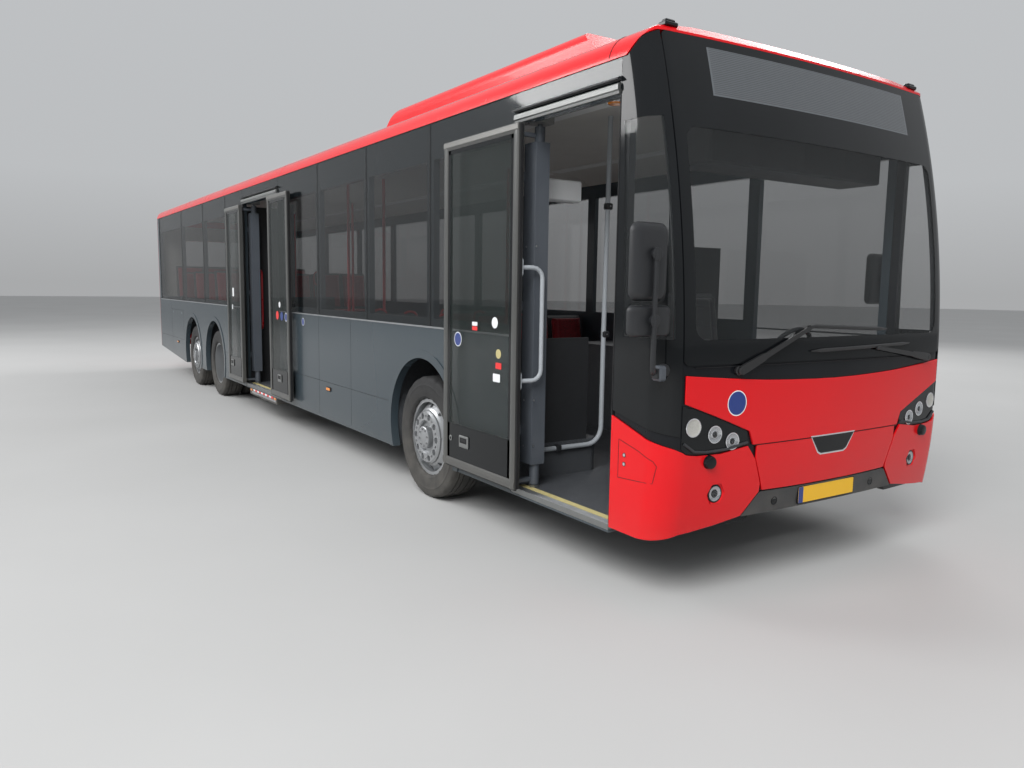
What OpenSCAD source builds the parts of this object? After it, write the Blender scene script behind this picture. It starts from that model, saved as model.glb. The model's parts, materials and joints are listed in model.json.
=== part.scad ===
// Three-axle low-entry passenger bus, doors on its right-hand side.
// Millimetres. +X points to the front, +Y to the left, +Z up; z = 0 is the ground.
// The origin lies on the ground, half-way along the body and on its centre plane.

/* [Body] */
// Overall length of the body
body_l = 13700; // [13400:50:14000]
// Overall width of the body
body_w = 2550; // [2500:10:2600]
// Thickness of a side wall with its lining
wall_t = 60; // [50:5:80]
// Height of the lower edge of the skirts
skirt_z = 320; // [300:5:340]
// Height of the waist line, the lower edge of the side glass
waist_z = 1342; // [1320:2:1360]
// Height of the lower edge of the red roof edge
cantrail_z = 2824; // [2800:4:2850]
// Height of the crown of the roof
roof_z = 3060; // [3040:5:3090]
// Radius of the roof shoulders
shoulder_r = 175; // [150:5:200]
// Thickness of the roof shell
roof_t = 60; // [50:5:80]
// Height of the top of the low floor
floor_z = 365; // [355:5:375]
// Thickness of the floor plates
floor_t = 40; // [35:5:50]
// Height of the raised floor at the rear
podium_z = 830; // [810:5:850]

/* [Front] */
// Radius of the bow of the front in plan
bow_r = 12000; // [9000:500:15000]
// Radius of the front corners in plan
corner_r = 160; // [140:5:180]
// Radius of the windscreen's curve seen from the side
screen_r = 6400; // [6000:100:7000]
// Radius of the nose's inward curve below the hood
chin_r = 3250; // [3000:50:3600]
// Thickness of the red front panels
panel_t = 12; // [10:1:13]
// Inset of the glass behind the panels' faces
glass_inset = 5; // [4:1:6]
// Thickness of the glass
glass_t = 7; // [6:1:8]

/* [Axles] */
// Distance of the front axle behind the nose
front_overhang = 2720; // [2690:10:2750]
// Distance of the tag axle ahead of the tail
rear_overhang = 2840; // [2790:10:2890]
// Distance between the drive axle and the tag axle
tag_spacing = 1460; // [1440:5:1480]
// Radius of the tyres
tyre_r = 478; // [470:1:482]
// Width of a tyre
tyre_w = 275; // [260:5:285]
// Distance from the centre plane to the outer side of the tyres
track_out = 1236; // [1225:1:1240]
// Spacing of the twin tyres
twin_pitch = 312; // [305:1:320]
// Radius of the wheel arches
arch_r = 550; // [540:5:560]
// Height of the wheel arches' centre
arch_z = 545; // [535:5:555]
// Distance of the king pins from the centre plane
kingpin_y = 985; // [970:5:1000]

/* [Doors] */
// Distance of the front doorway's front edge behind the nose
front_door_back = 482; // [480:2:500]
// Width of the front doorway
front_door_w = 968; // [950:2:980]
// Distance of the middle doorway's rear edge ahead of the drive axle
mid_door_ahead = 1678; // [1660:2:1690]
// Width of the middle doorway
mid_door_w = 1454; // [1440:2:1460]
// Height of the doorways' upper edge
door_top = 2640; // [2620:5:2650]
// Height of the doorways' sill
sill_z = 332; // [325:1:340]
// Gap between a door leaf and its doorway
leaf_gap = 20; // [18:1:24]
// Thickness of a door leaf
leaf_t = 38; // [34:1:42]
// Outer face of an open leaf, from the body's side
leaf_out = 75; // [65:5:90]
// Rearward travel of the front door leaf
front_travel = 795; // [760:5:810]
// Travel of each middle door leaf
mid_travel = 585; // [560:5:600]
// Distance of the door posts from the body's side
post_in = 130; // [120:5:140]

/* [Hidden] */
$fn = 64;

anthracite = [0.21, 0.24, 0.27];
red = [0.85, 0.05, 0.1];
dark = [0.08, 0.085, 0.09];
tint = [0.1, 0.11, 0.12, 0.6];
silver = [0.75, 0.76, 0.78];
steel = [0.25, 0.26, 0.28];

half_w = body_w / 2;
nose_x = body_l / 2;
tail_x = -body_l / 2;
front_x = nose_x - front_overhang;
tag_x = tail_x + rear_overhang;
drive_x = tag_x + tag_spacing;
front_door_x1 = nose_x - front_door_back;
front_door_x0 = front_door_x1 - front_door_w;
mid_door_x0 = drive_x + mid_door_ahead;
mid_door_x1 = mid_door_x0 + mid_door_w;
near = 0.3;             // clearance of pieces that seat on each other
run = 0.05;             // radial clearance of a shaft in its bore

// Wheel arches: [axle position, half-width of the wheel box, its depth, lower edge of its inner walls]
ARCHES = [
    [front_x, arch_r + 10, 625, floor_z - floor_t],
    [drive_x, arch_r + 10, 690, podium_z - floor_t],
    [tag_x, arch_r + 10, 560, podium_z - floor_t]
];

// Side window panes: [rear edge, front edge, lower edge]
pane_gap = 8;
window_low = waist_z + 8;
rear_pillar = tail_x + 210;
tag_pillar = tag_x - 670;
drive_pillar = drive_x - 565;
step_pillar = drive_x + 770;
front_pillar = front_x + 120;
driver_pillar = front_x + 1030;
door_edge = 10;
// Pillars between the middle doorway and the front axle, as shares of that length
function mid_pillar(share) = mid_door_x1 + door_edge + share * (front_pillar - mid_door_x1 - door_edge);
function left_pillar(share) = step_pillar + share * (mid_pillar(0.345) - step_pillar);
RIGHT_PANES = [
    [rear_pillar, tag_pillar, window_low], [tag_pillar, drive_pillar, window_low],
    [drive_pillar, step_pillar, window_low], [step_pillar, mid_door_x0 - door_edge, window_low],
    [mid_door_x1 + door_edge, mid_pillar(0.345), window_low],
    [mid_pillar(0.345), mid_pillar(0.676), window_low],
    [mid_pillar(0.676), front_pillar, window_low], [front_pillar, front_door_x0 - door_edge, window_low]
];
LEFT_PANES = [
    [rear_pillar, tag_pillar, window_low], [tag_pillar, drive_pillar, window_low],
    [drive_pillar, step_pillar, window_low], [step_pillar, left_pillar(0.37), window_low],
    [left_pillar(0.37), left_pillar(0.7), window_low], [left_pillar(0.7), mid_pillar(0.345), window_low],
    [mid_pillar(0.345), mid_pillar(0.676), window_low], [mid_pillar(0.676), front_pillar, window_low],
    [front_pillar, driver_pillar, window_low], [driver_pillar, front_door_x1, 1060]
];
frame_w = 55;           // width of the window frames hidden behind the glass
window_top = 2560;      // upper edge of the clear side windows

// Nose of the body at height z, on the centre plane
screen_foot = 1150;
hood_low = 900;
function nose(z) = z > screen_foot
    ? nose_x - screen_r + sqrt(pow(screen_r, 2) - pow(z - screen_foot, 2))
    : z < hood_low ? nose_x - chin_r + sqrt(pow(chin_r, 2) - pow(hood_low - z, 2)) : nose_x;

// Plan outline of the front at height z and depth t below the surface.
// Station 0 is the centre plane, 1 the end of the bow, 2 the end of the corner and 3 the doorway
// post; the sign gives the side.
bow_end = asin((half_w - corner_r) / (bow_r - corner_r));
corner_back = bow_r - sqrt(pow(bow_r - corner_r, 2) - pow(half_w - corner_r, 2));
post_x = front_door_x1 + 8;
function corner_x(z) = nose(z) - corner_back;
function front_point(u, z, t) = let (s = sign(u), v = abs(u))
    v <= 1 ? [nose(z) - bow_r + (bow_r - t) * cos(v * bow_end), s * (bow_r - t) * sin(v * bow_end), z]
    : v <= 2 ? let (a = bow_end + (v - 1) * (90 - bow_end))
        [corner_x(z) + (corner_r - t) * cos(a), s * (half_w - corner_r + (corner_r - t) * sin(a)), z]
    : [corner_x(z) - (v - 2) * (corner_x(z) - post_x), s * (half_w - t), z];
// Station of a point at distance y from the centre plane
function at_y(y) = abs(y) <= bow_r * sin(bow_end)
    ? asin(y / bow_r) / bow_end
    : sign(y) * (1 + (asin((abs(y) - half_w + corner_r) / corner_r) - bow_end) / (90 - bow_end));

// Station of a point at distance d in from the body's side
function in_y(d) = at_y(half_w - d);

// A panel of the front: rows of [station, lower edge, upper edge], between the depths t0 and t1
module front_panel(rows, t0, t1, steps = 4) {
    n = len(rows);
    m = steps + 1;
    function height(i, j) = rows[i][1] + (rows[i][2] - rows[i][1]) * j / steps;
    points = [for (t = [t0, t1], i = [0:n - 1], j = [0:steps]) front_point(rows[i][0], height(i, j), t)];
    function at(k, i, j) = k * n * m + i * m + j;
    polyhedron(points, concat(
        [for (i = [0:n - 2], j = [0:steps - 1]) each [
            [at(0, i, j), at(0, i, j + 1), at(0, i + 1, j + 1)],
                [at(0, i, j), at(0, i + 1, j + 1), at(0, i + 1, j)],
            [at(1, i, j), at(1, i + 1, j + 1), at(1, i, j + 1)],
                [at(1, i, j), at(1, i + 1, j), at(1, i + 1, j + 1)]
        ]],
        [for (i = [0:n - 2]) each [
            [at(0, i, 0), at(0, i + 1, 0), at(1, i + 1, 0)], [at(0, i, 0), at(1, i + 1, 0), at(1, i, 0)],
            [at(0, i, steps), at(1, i + 1, steps), at(0, i + 1, steps)],
            [at(0, i, steps), at(1, i, steps), at(1, i + 1, steps)]
        ]],
        [for (j = [0:steps - 1]) each [
            [at(0, 0, j), at(1, 0, j + 1), at(0, 0, j + 1)], [at(0, 0, j), at(1, 0, j), at(1, 0, j + 1)],
            [at(0, n - 1, j), at(0, n - 1, j + 1), at(1, n - 1, j + 1)],
            [at(0, n - 1, j), at(1, n - 1, j + 1), at(1, n - 1, j)]
        ]]
    ));
}

function span(a, b, steps) = [for (i = [0:steps]) a + (b - a) * i / steps];
function mirror_rows(rows) = [for (i = [len(rows) - 1:-1:0]) [-rows[i][0], rows[i][1], rows[i][2]]];
function both(rows) = concat(mirror_rows(rows), [for (i = [1:len(rows) - 1]) rows[i]]);

module block(x, y, z) {
    translate([x[0], y[0], z[0]]) cube([x[1] - x[0], y[1] - y[0], z[1] - z[0]]);
}

// Outline of width w and height h about the origin, with corners of radius r
module rounded(w, h, r) {
    square([w - 2 * r, h], center = true);
    square([w, h - 2 * r], center = true);
    for (x = [-1, 1], y = [-1, 1]) translate([x * (w / 2 - r), y * (h / 2 - r)]) circle(r);
}

module both_sides() {
    children();
    mirror([0, 1, 0]) children();
}

// A plate in the x-z plane, from its outer face at distance y_out from the centre plane inwards
module side_plate(y_out, t) {
    translate([0, -y_out + t, 0]) rotate([90, 0, 0]) linear_extrude(t) children();
}

module rod(a, b, r) {
    d = b - a;
    l = norm(d);
    translate(a) rotate([0, acos(d[2] / l), atan2(d[1], d[0])]) cylinder(r = r, h = l);
}

// A bent tube of radius r through points that lie in the plane across the given direction
module tube(points, r, across, sides = 12) {
    n = len(points);
    function along(i) = let (d = points[min(i + 1, n - 1)] - points[max(i - 1, 0)]) d / norm(d);
    function ring(i, k) = let (a = 360 * k / sides)
        points[i] + r * (cos(a) * across + sin(a) * cross(along(i), across));
    rings = [for (i = [0:n - 1], k = [0:sides - 1]) ring(i, k)];
    function at(i, k) = i * sides + k % sides;
    polyhedron(rings, concat(
        [[for (k = [0:sides - 1]) k]],
        [for (i = [0:n - 2], k = [0:sides - 1]) each [
            [at(i, k), at(i + 1, k), at(i + 1, k + 1)], [at(i, k), at(i + 1, k + 1), at(i, k + 1)]
        ]],
        [[for (k = [sides - 1:-1:0]) at(n - 1, k)]]
    ));
}

// A handle shaped like a D: it stands out from its base by the vector out, between the heights z0 and z1
module bow_handle(base, out, z0, z1, bend, r) {
    reach = norm(out);
    d = out / reach;
    corner = [for (a = [0:22.5:90]) bend * [1 - sin(a), 1 - cos(a)]];
    lower = [for (c = corner) base + d * (reach - c[0]) + [0, 0, z0 + c[1]]];
    upper = [for (i = [len(corner) - 1:-1:0])
        base + d * (reach - corner[i][0]) + [0, 0, z1 - corner[i][1]]];
    tube(concat([base + [0, 0, z0]], lower, upper, [base + [0, 0, z1]]), r, cross(d, [0, 0, 1]));
}

// Chassis
rail_y = 430;
rail_w = 80;
rail_z = 245;
high_rail_z = 650;
rail_front = nose_x - 750;
tow_x = nose_x - 560;   // towing eye on the left-hand rail
tow_t = 20;
tow_h = 40;
tow_r = 20;
step_x = drive_x + 700; // riser between the low and the raised floor
engine_x0 = tail_x + 330;
engine_x1 = engine_x0 + 1230;
deck_z = 1300;          // deck above the engine
deck_x = engine_x1 + 60;
// Cross members under the low floor and under the raised floor
LOW_CROSS = [
    nose_x - 950, nose_x - 1950, front_x - 830, mid_pillar(0.67), mid_pillar(0.345), mid_door_x1 + 118,
    mid_door_x0 - 128, step_x + 50
];
HIGH_CROSS = [drive_x - 750, tag_x - 690, engine_x1 + near, engine_x0 - near - rail_w];
module chassis() {
    low_top = floor_z - floor_t;
    high_top = podium_z - floor_t;
    upright = [step_x - floor_t - rail_w, step_x - floor_t - near];
    between = rail_y - rail_w / 2 - near;
    color(steel) {
        for (s = [-1, 1]) {
            y = [s * rail_y - rail_w / 2, s * rail_y + rail_w / 2];
            block([upright[1] + near, rail_front], y, [rail_z, low_top]);
            block([tail_x + 150, upright[0] - near], y, [high_rail_z, high_top]);
            block(upright, y, [rail_z, high_top]);
        }
        difference() {
            union() {
                block([rail_front + near, tow_x], [rail_y - tow_t / 2, rail_y + tow_t / 2],
                    [rail_z, rail_z + 2 * tow_h]);
                translate([tow_x, rail_y + tow_t / 2, rail_z + tow_h]) rotate([90, 0, 0])
                    cylinder(r = tow_h, h = tow_t);
            }
            translate([tow_x, rail_y + tow_t, rail_z + tow_h]) rotate([90, 0, 0])
                cylinder(r = tow_r, h = 2 * tow_t);
        }
        for (x = LOW_CROSS) block([x, x + rail_w], [-between, between], [rail_z, low_top]);
        for (x = HIGH_CROSS) block([x, x + rail_w], [-between, between], [high_rail_z, high_top]);
    }
}

// Floor with the wheel boxes, which are open to below
box_t = 15;
ledge_x = front_door_x0 - 100;      // raised ledge behind the front doorway
ledge_y = 805 - half_w;
ledge_z = 600;
ledge_r = 70;
box_top = 1120;
floor_w = half_w - wall_t - near;   // half-width of the floor inside the side walls
floor_front = post_x - 26;
module wheel_box(a, grow) {
    for (s = [-1, 1])
        block([a[0] - a[1] - grow, a[0] + a[1] + grow],
            s > 0 ? [half_w - a[2] - grow, half_w - wall_t] : [-half_w + wall_t, -half_w + a[2] + grow],
            [skirt_z - 200, box_top + grow]);
}
function box_back(a) = a[0] - a[1] - box_t - near;
function box_front(a) = a[0] + a[1] + box_t + near;
function box_inside(a) = half_w - a[2] - box_t - near;
// Floor plates: [rear edge, front edge, half-width, top]
FLOOR_PLATES = [
    [step_x + near, box_back(ARCHES[0]), floor_w, floor_z],
    [box_back(ARCHES[0]) + near, box_front(ARCHES[0]) - near, box_inside(ARCHES[0]), floor_z],
    [box_front(ARCHES[0]), floor_front, floor_w, floor_z],
    [box_front(ARCHES[1]), step_x - floor_t - near, floor_w, podium_z],
    [box_back(ARCHES[1]) + near, box_front(ARCHES[1]) - near, box_inside(ARCHES[1]), podium_z],
    [box_front(ARCHES[2]), box_back(ARCHES[1]), floor_w, podium_z],
    [box_back(ARCHES[2]) + near, box_front(ARCHES[2]) - near, box_inside(ARCHES[2]), podium_z],
    [deck_x + floor_t + near, box_back(ARCHES[2]), floor_w, podium_z]
];
module floor() {
    y = [-floor_w, floor_w];
    color(dark) {
        for (p = FLOOR_PLATES) block([p[0], p[1]], [-p[2], p[2]], [p[3] - floor_t, p[3]]);
        block([step_x - floor_t, step_x], y, [floor_z - floor_t, podium_z]);
        block([step_x + near, step_x + 260], [-450, 450], [floor_z + near, floor_z + 230]);
        block([deck_x, deck_x + floor_t], y, [podium_z - floor_t, deck_z]);
        block([tail_x + rear_t + near, deck_x - near], y, [deck_z - floor_t, deck_z]);
        translate([0, 0, floor_z + near]) linear_extrude(ledge_z - floor_z - near) {
            translate([box_front(ARCHES[0]), -floor_w])
                square([ledge_x - box_front(ARCHES[0]), ledge_y - ledge_r + floor_w]);
            translate([box_front(ARCHES[0]), -floor_w])
                square([ledge_x - ledge_r - box_front(ARCHES[0]), ledge_y + floor_w]);
            translate([ledge_x - ledge_r, ledge_y - ledge_r]) circle(ledge_r);
        }
        for (a = ARCHES) difference() {
            intersection() {
                wheel_box(a, box_t);
                block([tail_x, nose_x], y, [a[3], box_top + box_t]);
            }
            wheel_box(a, 0);
        }
    }
}

// Side walls
module rear_rise() {
    polygon([[tail_x - 10, 0], [tag_x - 640, 0], [tag_x - 640, skirt_z], [tail_x - 10, 458]]);
}
module side_outline(x1) {
    difference() {
        translate([tail_x + rear_t + near, skirt_z])
            square([x1 - tail_x - rear_t - near, cantrail_z - skirt_z]);
        rear_rise();
        for (a = ARCHES) translate([a[0], arch_z]) circle(arch_r);
    }
}
module windows(panes) {
    for (p = panes)
        translate([p[0] + frame_w, p[2] + frame_w])
            square([p[1] - p[0] - 2 * frame_w, window_top - p[2] - frame_w]);
}
module doorways() {
    for (d = [[front_door_x0, front_door_x1 + 20], [mid_door_x0, mid_door_x1]])
        translate([d[0], sill_z]) square([d[1] - d[0], door_top - sill_z]);
}
glass_y = half_w - glass_inset;             // outer face of the side glass
lip_w = 66;
lip_out = 7;
module arch_lips() {
    side_plate(half_w + lip_out, lip_out + 10) intersection() {
        for (a = ARCHES) translate([a[0], arch_z]) difference() {
            circle(arch_r + lip_w);
            circle(arch_r);
        }
        translate([tail_x, skirt_z]) square([body_l, arch_z + arch_r + lip_w]);
    }
}
module glass_rebate(x0, x1, z0) {
    block([x0, x1], [-half_w - 1, -glass_y + glass_t + near], [z0, cantrail_z + 1]);
}
// The wall is built in sections that meet at the doorways
module side_right() {
    color(anthracite) arch_lips();
    color(anthracite) difference() {
        side_plate(half_w, wall_t) difference() {
            side_outline(post_x);
            windows(RIGHT_PANES);
            doorways();
            for (x = [front_door_x0, mid_door_x0 - near, mid_door_x1])
                translate([x, skirt_z - 1]) square([near, cantrail_z - skirt_z + 2]);
        }
        glass_rebate(rear_pillar - 10, post_x + 1, waist_z);
    }
}
module side_left() {
    color(anthracite) mirror([0, 1, 0]) arch_lips();
    color(anthracite) mirror([0, 1, 0]) difference() {
        side_plate(half_w, wall_t) difference() {
            side_outline(post_x);
            windows(LEFT_PANES);
        }
        glass_rebate(rear_pillar - 10, post_x + 1, waist_z);
        glass_rebate(driver_pillar - 4, post_x + 1, 1056);
    }
}
module side_glass() {
    cover_top = cantrail_z - 4;
    color(tint) {
        for (p = RIGHT_PANES)
            block([p[0] + pane_gap / 2, p[1] - pane_gap / 2], [-glass_y, -glass_y + glass_t],
                [p[2] - 4, cover_top]);
        for (d = [[front_door_x0, front_door_x1], [mid_door_x0, mid_door_x1]])
            block([d[0] - 6, d[1] + 6], [-glass_y, -glass_y + glass_t], [door_top + 25, cover_top]);
        for (p = LEFT_PANES)
            block([p[0] + pane_gap / 2, p[1] - pane_gap / 2], [glass_y - glass_t, glass_y],
                [p[2] - 4, cover_top]);
        block([tail_x + 5, tail_x + 5 + glass_t], [-900, 900], [1500, 2500]);
    }
}

// Roof
crown_r = 7000;
module roof_section(inset) {
    shoulder_z = cantrail_z - 24;
    side = half_w - shoulder_r;
    intersection() {
        union() {
            translate([-side, 0]) square([2 * side, roof_z]);
            for (s = [-1, 1]) translate([s * side, shoulder_z]) circle(shoulder_r - inset);
        }
        translate([0, roof_z - crown_r]) circle(crown_r - inset, $fn = 400);
        translate([-half_w, cantrail_z - (inset > 0 ? 1 : 0)]) square([body_w, 400]);
    }
}
module along_x(x0, x1) {
    translate([x0, 0, 0]) rotate([90, 0, 90]) linear_extrude(x1 - x0) children();
}
module plan_prism(z, z0, z1, t) {
    nose_c = nose(z) - bow_r;
    translate([0, 0, z0]) linear_extrude(z1 - z0) union() {
        intersection() {
            translate([nose_c, 0]) circle(bow_r - t, $fn = 400);
            translate([tail_x, -half_w + corner_r]) square([body_l + 100, 2 * (half_w - corner_r)]);
        }
        for (s = [-1, 1]) translate([corner_x(z), s * (half_w - corner_r)]) circle(corner_r - t);
        translate([tail_x + rear_r, -half_w + t]) square([corner_x(z) - tail_x - rear_r, 2 * (half_w - t)]);
        rear_corners();
    }
}
// Rear end of the body in plan, as deep as its corner radius
module rear_corners() {
    translate([tail_x, -half_w + rear_r]) square([2 * rear_r, body_w - 2 * rear_r]);
    for (s = [-1, 1]) translate([tail_x + rear_r, s * (half_w - rear_r)]) circle(rear_r);
}
roof_nose_z = 2950;
rear_r = 50;            // radius of the rear corners in plan
tail_r = 110;           // radius of the roof's upper rear edge
module roof_tail() {
    arc = [for (a = [0:15:90]) [tail_x + tail_r * (1 - sin(a)), roof_z - tail_r * (1 - cos(a))]];
    translate([0, half_w + 1, 0]) rotate([90, 0, 0]) linear_extrude(body_w + 2)
        polygon(concat([[nose_x, roof_z + 1], [tail_x + tail_r, roof_z + 1]], arc,
            [[tail_x, cantrail_z - 20], [nose_x, cantrail_z - 20]]));
}
// Rounded front edge of the roof, turned about the bow's centre
module roof_bow() {
    face = bow_r - 4;
    edge_z = lookup(0, BAND_TOP);
    translate([nose(edge_z) - bow_r, 0, 0]) rotate_extrude($fn = 720) intersection() {
        polygon([[0, 2700], [face, 2700], [face, edge_z + 12], [face - 70, edge_z + 66],
            [face - 190, edge_z + 104], [face - 420, edge_z + 122], [face - 700, edge_z + 130],
            [0, edge_z + 130]]);
        square([bow_r, 4000]);
    }
}
module roof() {
    corner_top = [for (r = BAND_TOP) if (r[0] >= 1.1)
        [front_point(r[0], r[1], 0)[0] - glass_inset - glass_t - 2, r[1] + near]];
    color(red) intersection() {
        difference() {
            along_x(tail_x, nose_x) roof_section(0);
            along_x(tail_x + roof_t, nose(roof_nose_z) - 260) roof_section(roof_t);
            translate([0, half_w + 1, 0]) rotate([90, 0, 0]) linear_extrude(body_w + 2)
                polygon(concat([[nose_x, BAND_TOP[0][1] + near]], corner_top,
                    [[post_x, 2000], [nose_x, 2000]]));
        }
        plan_prism(roof_nose_z, cantrail_z - 10, roof_z + 10, 0);
        roof_bow();
        roof_tail();
    }
}
module roof_unit() {
    unit_l = 3240;
    x1 = nose_x - 1210;
    x0 = x1 - unit_l;
    w = half_w - 475;
    top = roof_z + 220;
    slope = 260;
    edge_r = 110;
    color(red) intersection() {
        translate([0, w, 0]) rotate([90, 0, 0]) linear_extrude(2 * w)
            polygon([[x0, roof_z - 40], [x1, roof_z - 40], [x1, roof_z + 20], [x1 - slope, top],
                [x0 + slope, top], [x0, roof_z + 20]]);
        along_x(x0 - 10, x1 + 10) difference() {
            union() {
                translate([-w + edge_r, roof_z - 60]) square([2 * (w - edge_r), top - roof_z + 60]);
                for (s = [-1, 1]) translate([s * (w - edge_r), top - edge_r]) circle(edge_r);
                translate([-w, roof_z - 60]) square([2 * w, top - edge_r - roof_z + 60]);
            }
            translate([0, roof_z - crown_r]) circle(crown_r + near, $fn = 400);
        }
    }
}

// Rear wall with its hatch opening
hatch_w = 1800;
hatch_gap = 6;
hatch_top_gap = 16;
hinge_x = tail_x + 6;
hinge_up = 6;           // hinge axis above the upper edge of the hatch
hinge_y = 600;
hatch_z0 = 560;
hatch_z1 = 1240;
rear_t = 55;
module rear_wall() {
    hinge_z = hatch_z1 + hinge_up;
    color(red) {
        difference() {
            translate([0, 0, 458]) linear_extrude(cantrail_z - 458) intersection() {
                union() {
                    rear_corners();
                    translate([tail_x + rear_r, -half_w]) square([rear_r, body_w]);
                }
                translate([tail_x, -half_w]) square([rear_t, body_w]);
            }
            block([tail_x - 1, tail_x + rear_t + 1], [-hatch_w / 2 - hatch_gap, hatch_w / 2 + hatch_gap],
                [hatch_z0 - hatch_gap, hatch_z1 + hatch_top_gap]);
            block([tail_x - 1, tail_x + 5 + glass_t + near], [-905, 905], [1495, 2505]);
            block([tail_x - 1, tail_x + rear_t + 1], [-840, 840], [1560, 2440]);
            for (s = [-1, 1]) block([tail_x - 1, tail_x + 25], [s * 1090 - 80, s * 1090 + 80], [640, 1240]);
        }
        for (s = [-1, 1]) {
            for (e = [-1, 1])
                block([tail_x, tail_x + 12], [s * hinge_y + e * 46 - 5.5, s * hinge_y + e * 46 + 5.5],
                    [hatch_z1 + 1, hatch_z1 + hatch_top_gap + 1]);
            translate([hinge_x, s * hinge_y + 50, hinge_z]) rotate([90, 0, 0]) cylinder(r = 3, h = 100);
        }
    }
}
module tail_lamps() {
    color(red) for (s = [-1, 1], z = [700, 840, 980, 1120])
        translate([tail_x + 25 - near, s * 1090, z]) rotate([0, -90, 0]) cylinder(r = 60, h = 24);
}
module engine_hatch() {
    color(anthracite) difference() {
        union() {
            block([tail_x, tail_x + 30], [-hatch_w / 2, hatch_w / 2], [hatch_z0, hatch_z1]);
            for (s = [-1, 1]) {
                translate([hinge_x, s * hinge_y + 40, hatch_z1 + hinge_up]) rotate([90, 0, 0])
                    cylinder(r = 5.5, h = 80);
                block([hinge_x - 4, hinge_x + 4], [s * hinge_y - 40, s * hinge_y + 40],
                    [hatch_z1 - 1, hatch_z1 + 3]);
            }
        }
        for (s = [-1, 1]) {
            translate([hinge_x, s * hinge_y + 60, hatch_z1 + hinge_up]) rotate([90, 0, 0])
                cylinder(r = 3 + run, h = 120);
            for (e = [-1, 1]) block([tail_x - 1, tail_x + 16],
                [s * hinge_y + e * 50.5 - 10, s * hinge_y + e * 50.5 + 10], [hatch_z1 - 8, hatch_z1 + 1]);
        }
        for (z = [640:50:900]) block([tail_x - 1, tail_x + 31], [-700, 700], [z, z + 25]);
    }
}

// Front
mask_t0 = panel_t + 1.6;
mask_t1 = mask_t0 + 42;
corner_steps = span(1.1, 2, 9);
// Upper edge of the glass and of the black band along the front: [station, height]
BAND_TOP = [
    [0, 2936], [1.13, 2936], [1.3, 2926], [1.45, 2915], [1.6, 2899], [1.75, 2868], [1.9, 2838],
    [2, 2820], [3, 2820]
];
MASK_TOP = [
    [0, 2930], [0.5, 2920], [0.8, 2908], [1, 2894], [1.3, 2885], [1.6, 2856], [1.9, 2818],
    [2, 2814], [3, 2814]
];
pillar_w = 64;
pad_x = [post_x + 70, post_x + 130];    // pads on the mask that carry the corner panels
pad_z = [600, 680];
module front_mask() {
    around = concat(span(0, 1, 8), corner_steps, [3]);
    lower = [for (u = around) [u, u < 0.55 ? 444 : 400, 1330]];
    header = [for (u = around) [u, 2560, lookup(u, MASK_TOP)]];
    pillar = [for (u = [1.05, 1.1, 1.2, 1.3, 1.38]) [u, 1329, 2561]];
    color(dark) union() {
        front_panel(both(lower), mask_t0, mask_t1, 12);
        front_panel(both(header), mask_t0, mask_t1, 3);
        front_panel(pillar, mask_t0, mask_t1, 10);
        front_panel(mirror_rows(pillar), mask_t0, mask_t1, 10);
        both_sides() {
            block([post_x + near, post_x + pillar_w], [half_w - wall_t, half_w - mask_t0], [1300, 2600]);
            block(pad_x, [half_w - mask_t0 - 10, half_w - panel_t - near], pad_z);
        }
    }
}
screen_edge = in_y(112);
glass_steps = 14;
module glass_panel(rows) {
    front_panel(rows, glass_inset, glass_inset + glass_t, glass_steps);
}
module windscreen() {
    color(tint) glass_panel(both([for (u = concat(span(0, 1, 8), [screen_edge]))
        [u, 1268, lookup(u, BAND_TOP)]]));
}
module corner_glass() {
    rows = [for (u = concat([screen_edge + 0.03], span(1.2, 2, 8), [3]))
        [u, lookup(u, [[1, 900], [2, 940], [3, 1000]]), lookup(u, BAND_TOP)]];
    color(tint) {
        glass_panel(rows);
        glass_panel(mirror_rows(rows));
    }
}

// Hood: [distance from the centre plane, lower edge, upper edge]
HOOD = [
    [0, 560, 1160], [190, 560, 1162], [380, 562, 1167], [half_w - 709, 566, 1174],
    [half_w - 672, 660, 1176], [half_w - 635, 755, 1178], [half_w - 607, 826, 1180],
    [half_w - 575, 905, 1182], [half_w - 415, 968, 1194], [half_w - 275, 1020, 1205],
    [half_w - 175, 1056, 1213], [half_w - 125, 1074, 1218]
];
// Front corners: [station, lower edge, upper edge]
CORNER = [
    [in_y(685), 562, 606], [in_y(656), 531, 679], [in_y(627), 500, 752], [in_y(567), 436, 826],
    [in_y(375), 408, 800], [in_y(214), 390, 802], [1.1, 380, 826], [1.3, 368, 845],
    [1.6, 356, 863], [2, 350, 885], [3, 352, 972]
];
// Fog lamp in a hexagonal recess: distance from the centre plane, height, radius
FOG = [half_w - 366, 585, 44];
fog_hole = 62;
function low_edge(table) = [for (r = table) [r[0], r[1]]];
function high_edge(table) = [for (r = table) [r[0], r[2]]];
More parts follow.
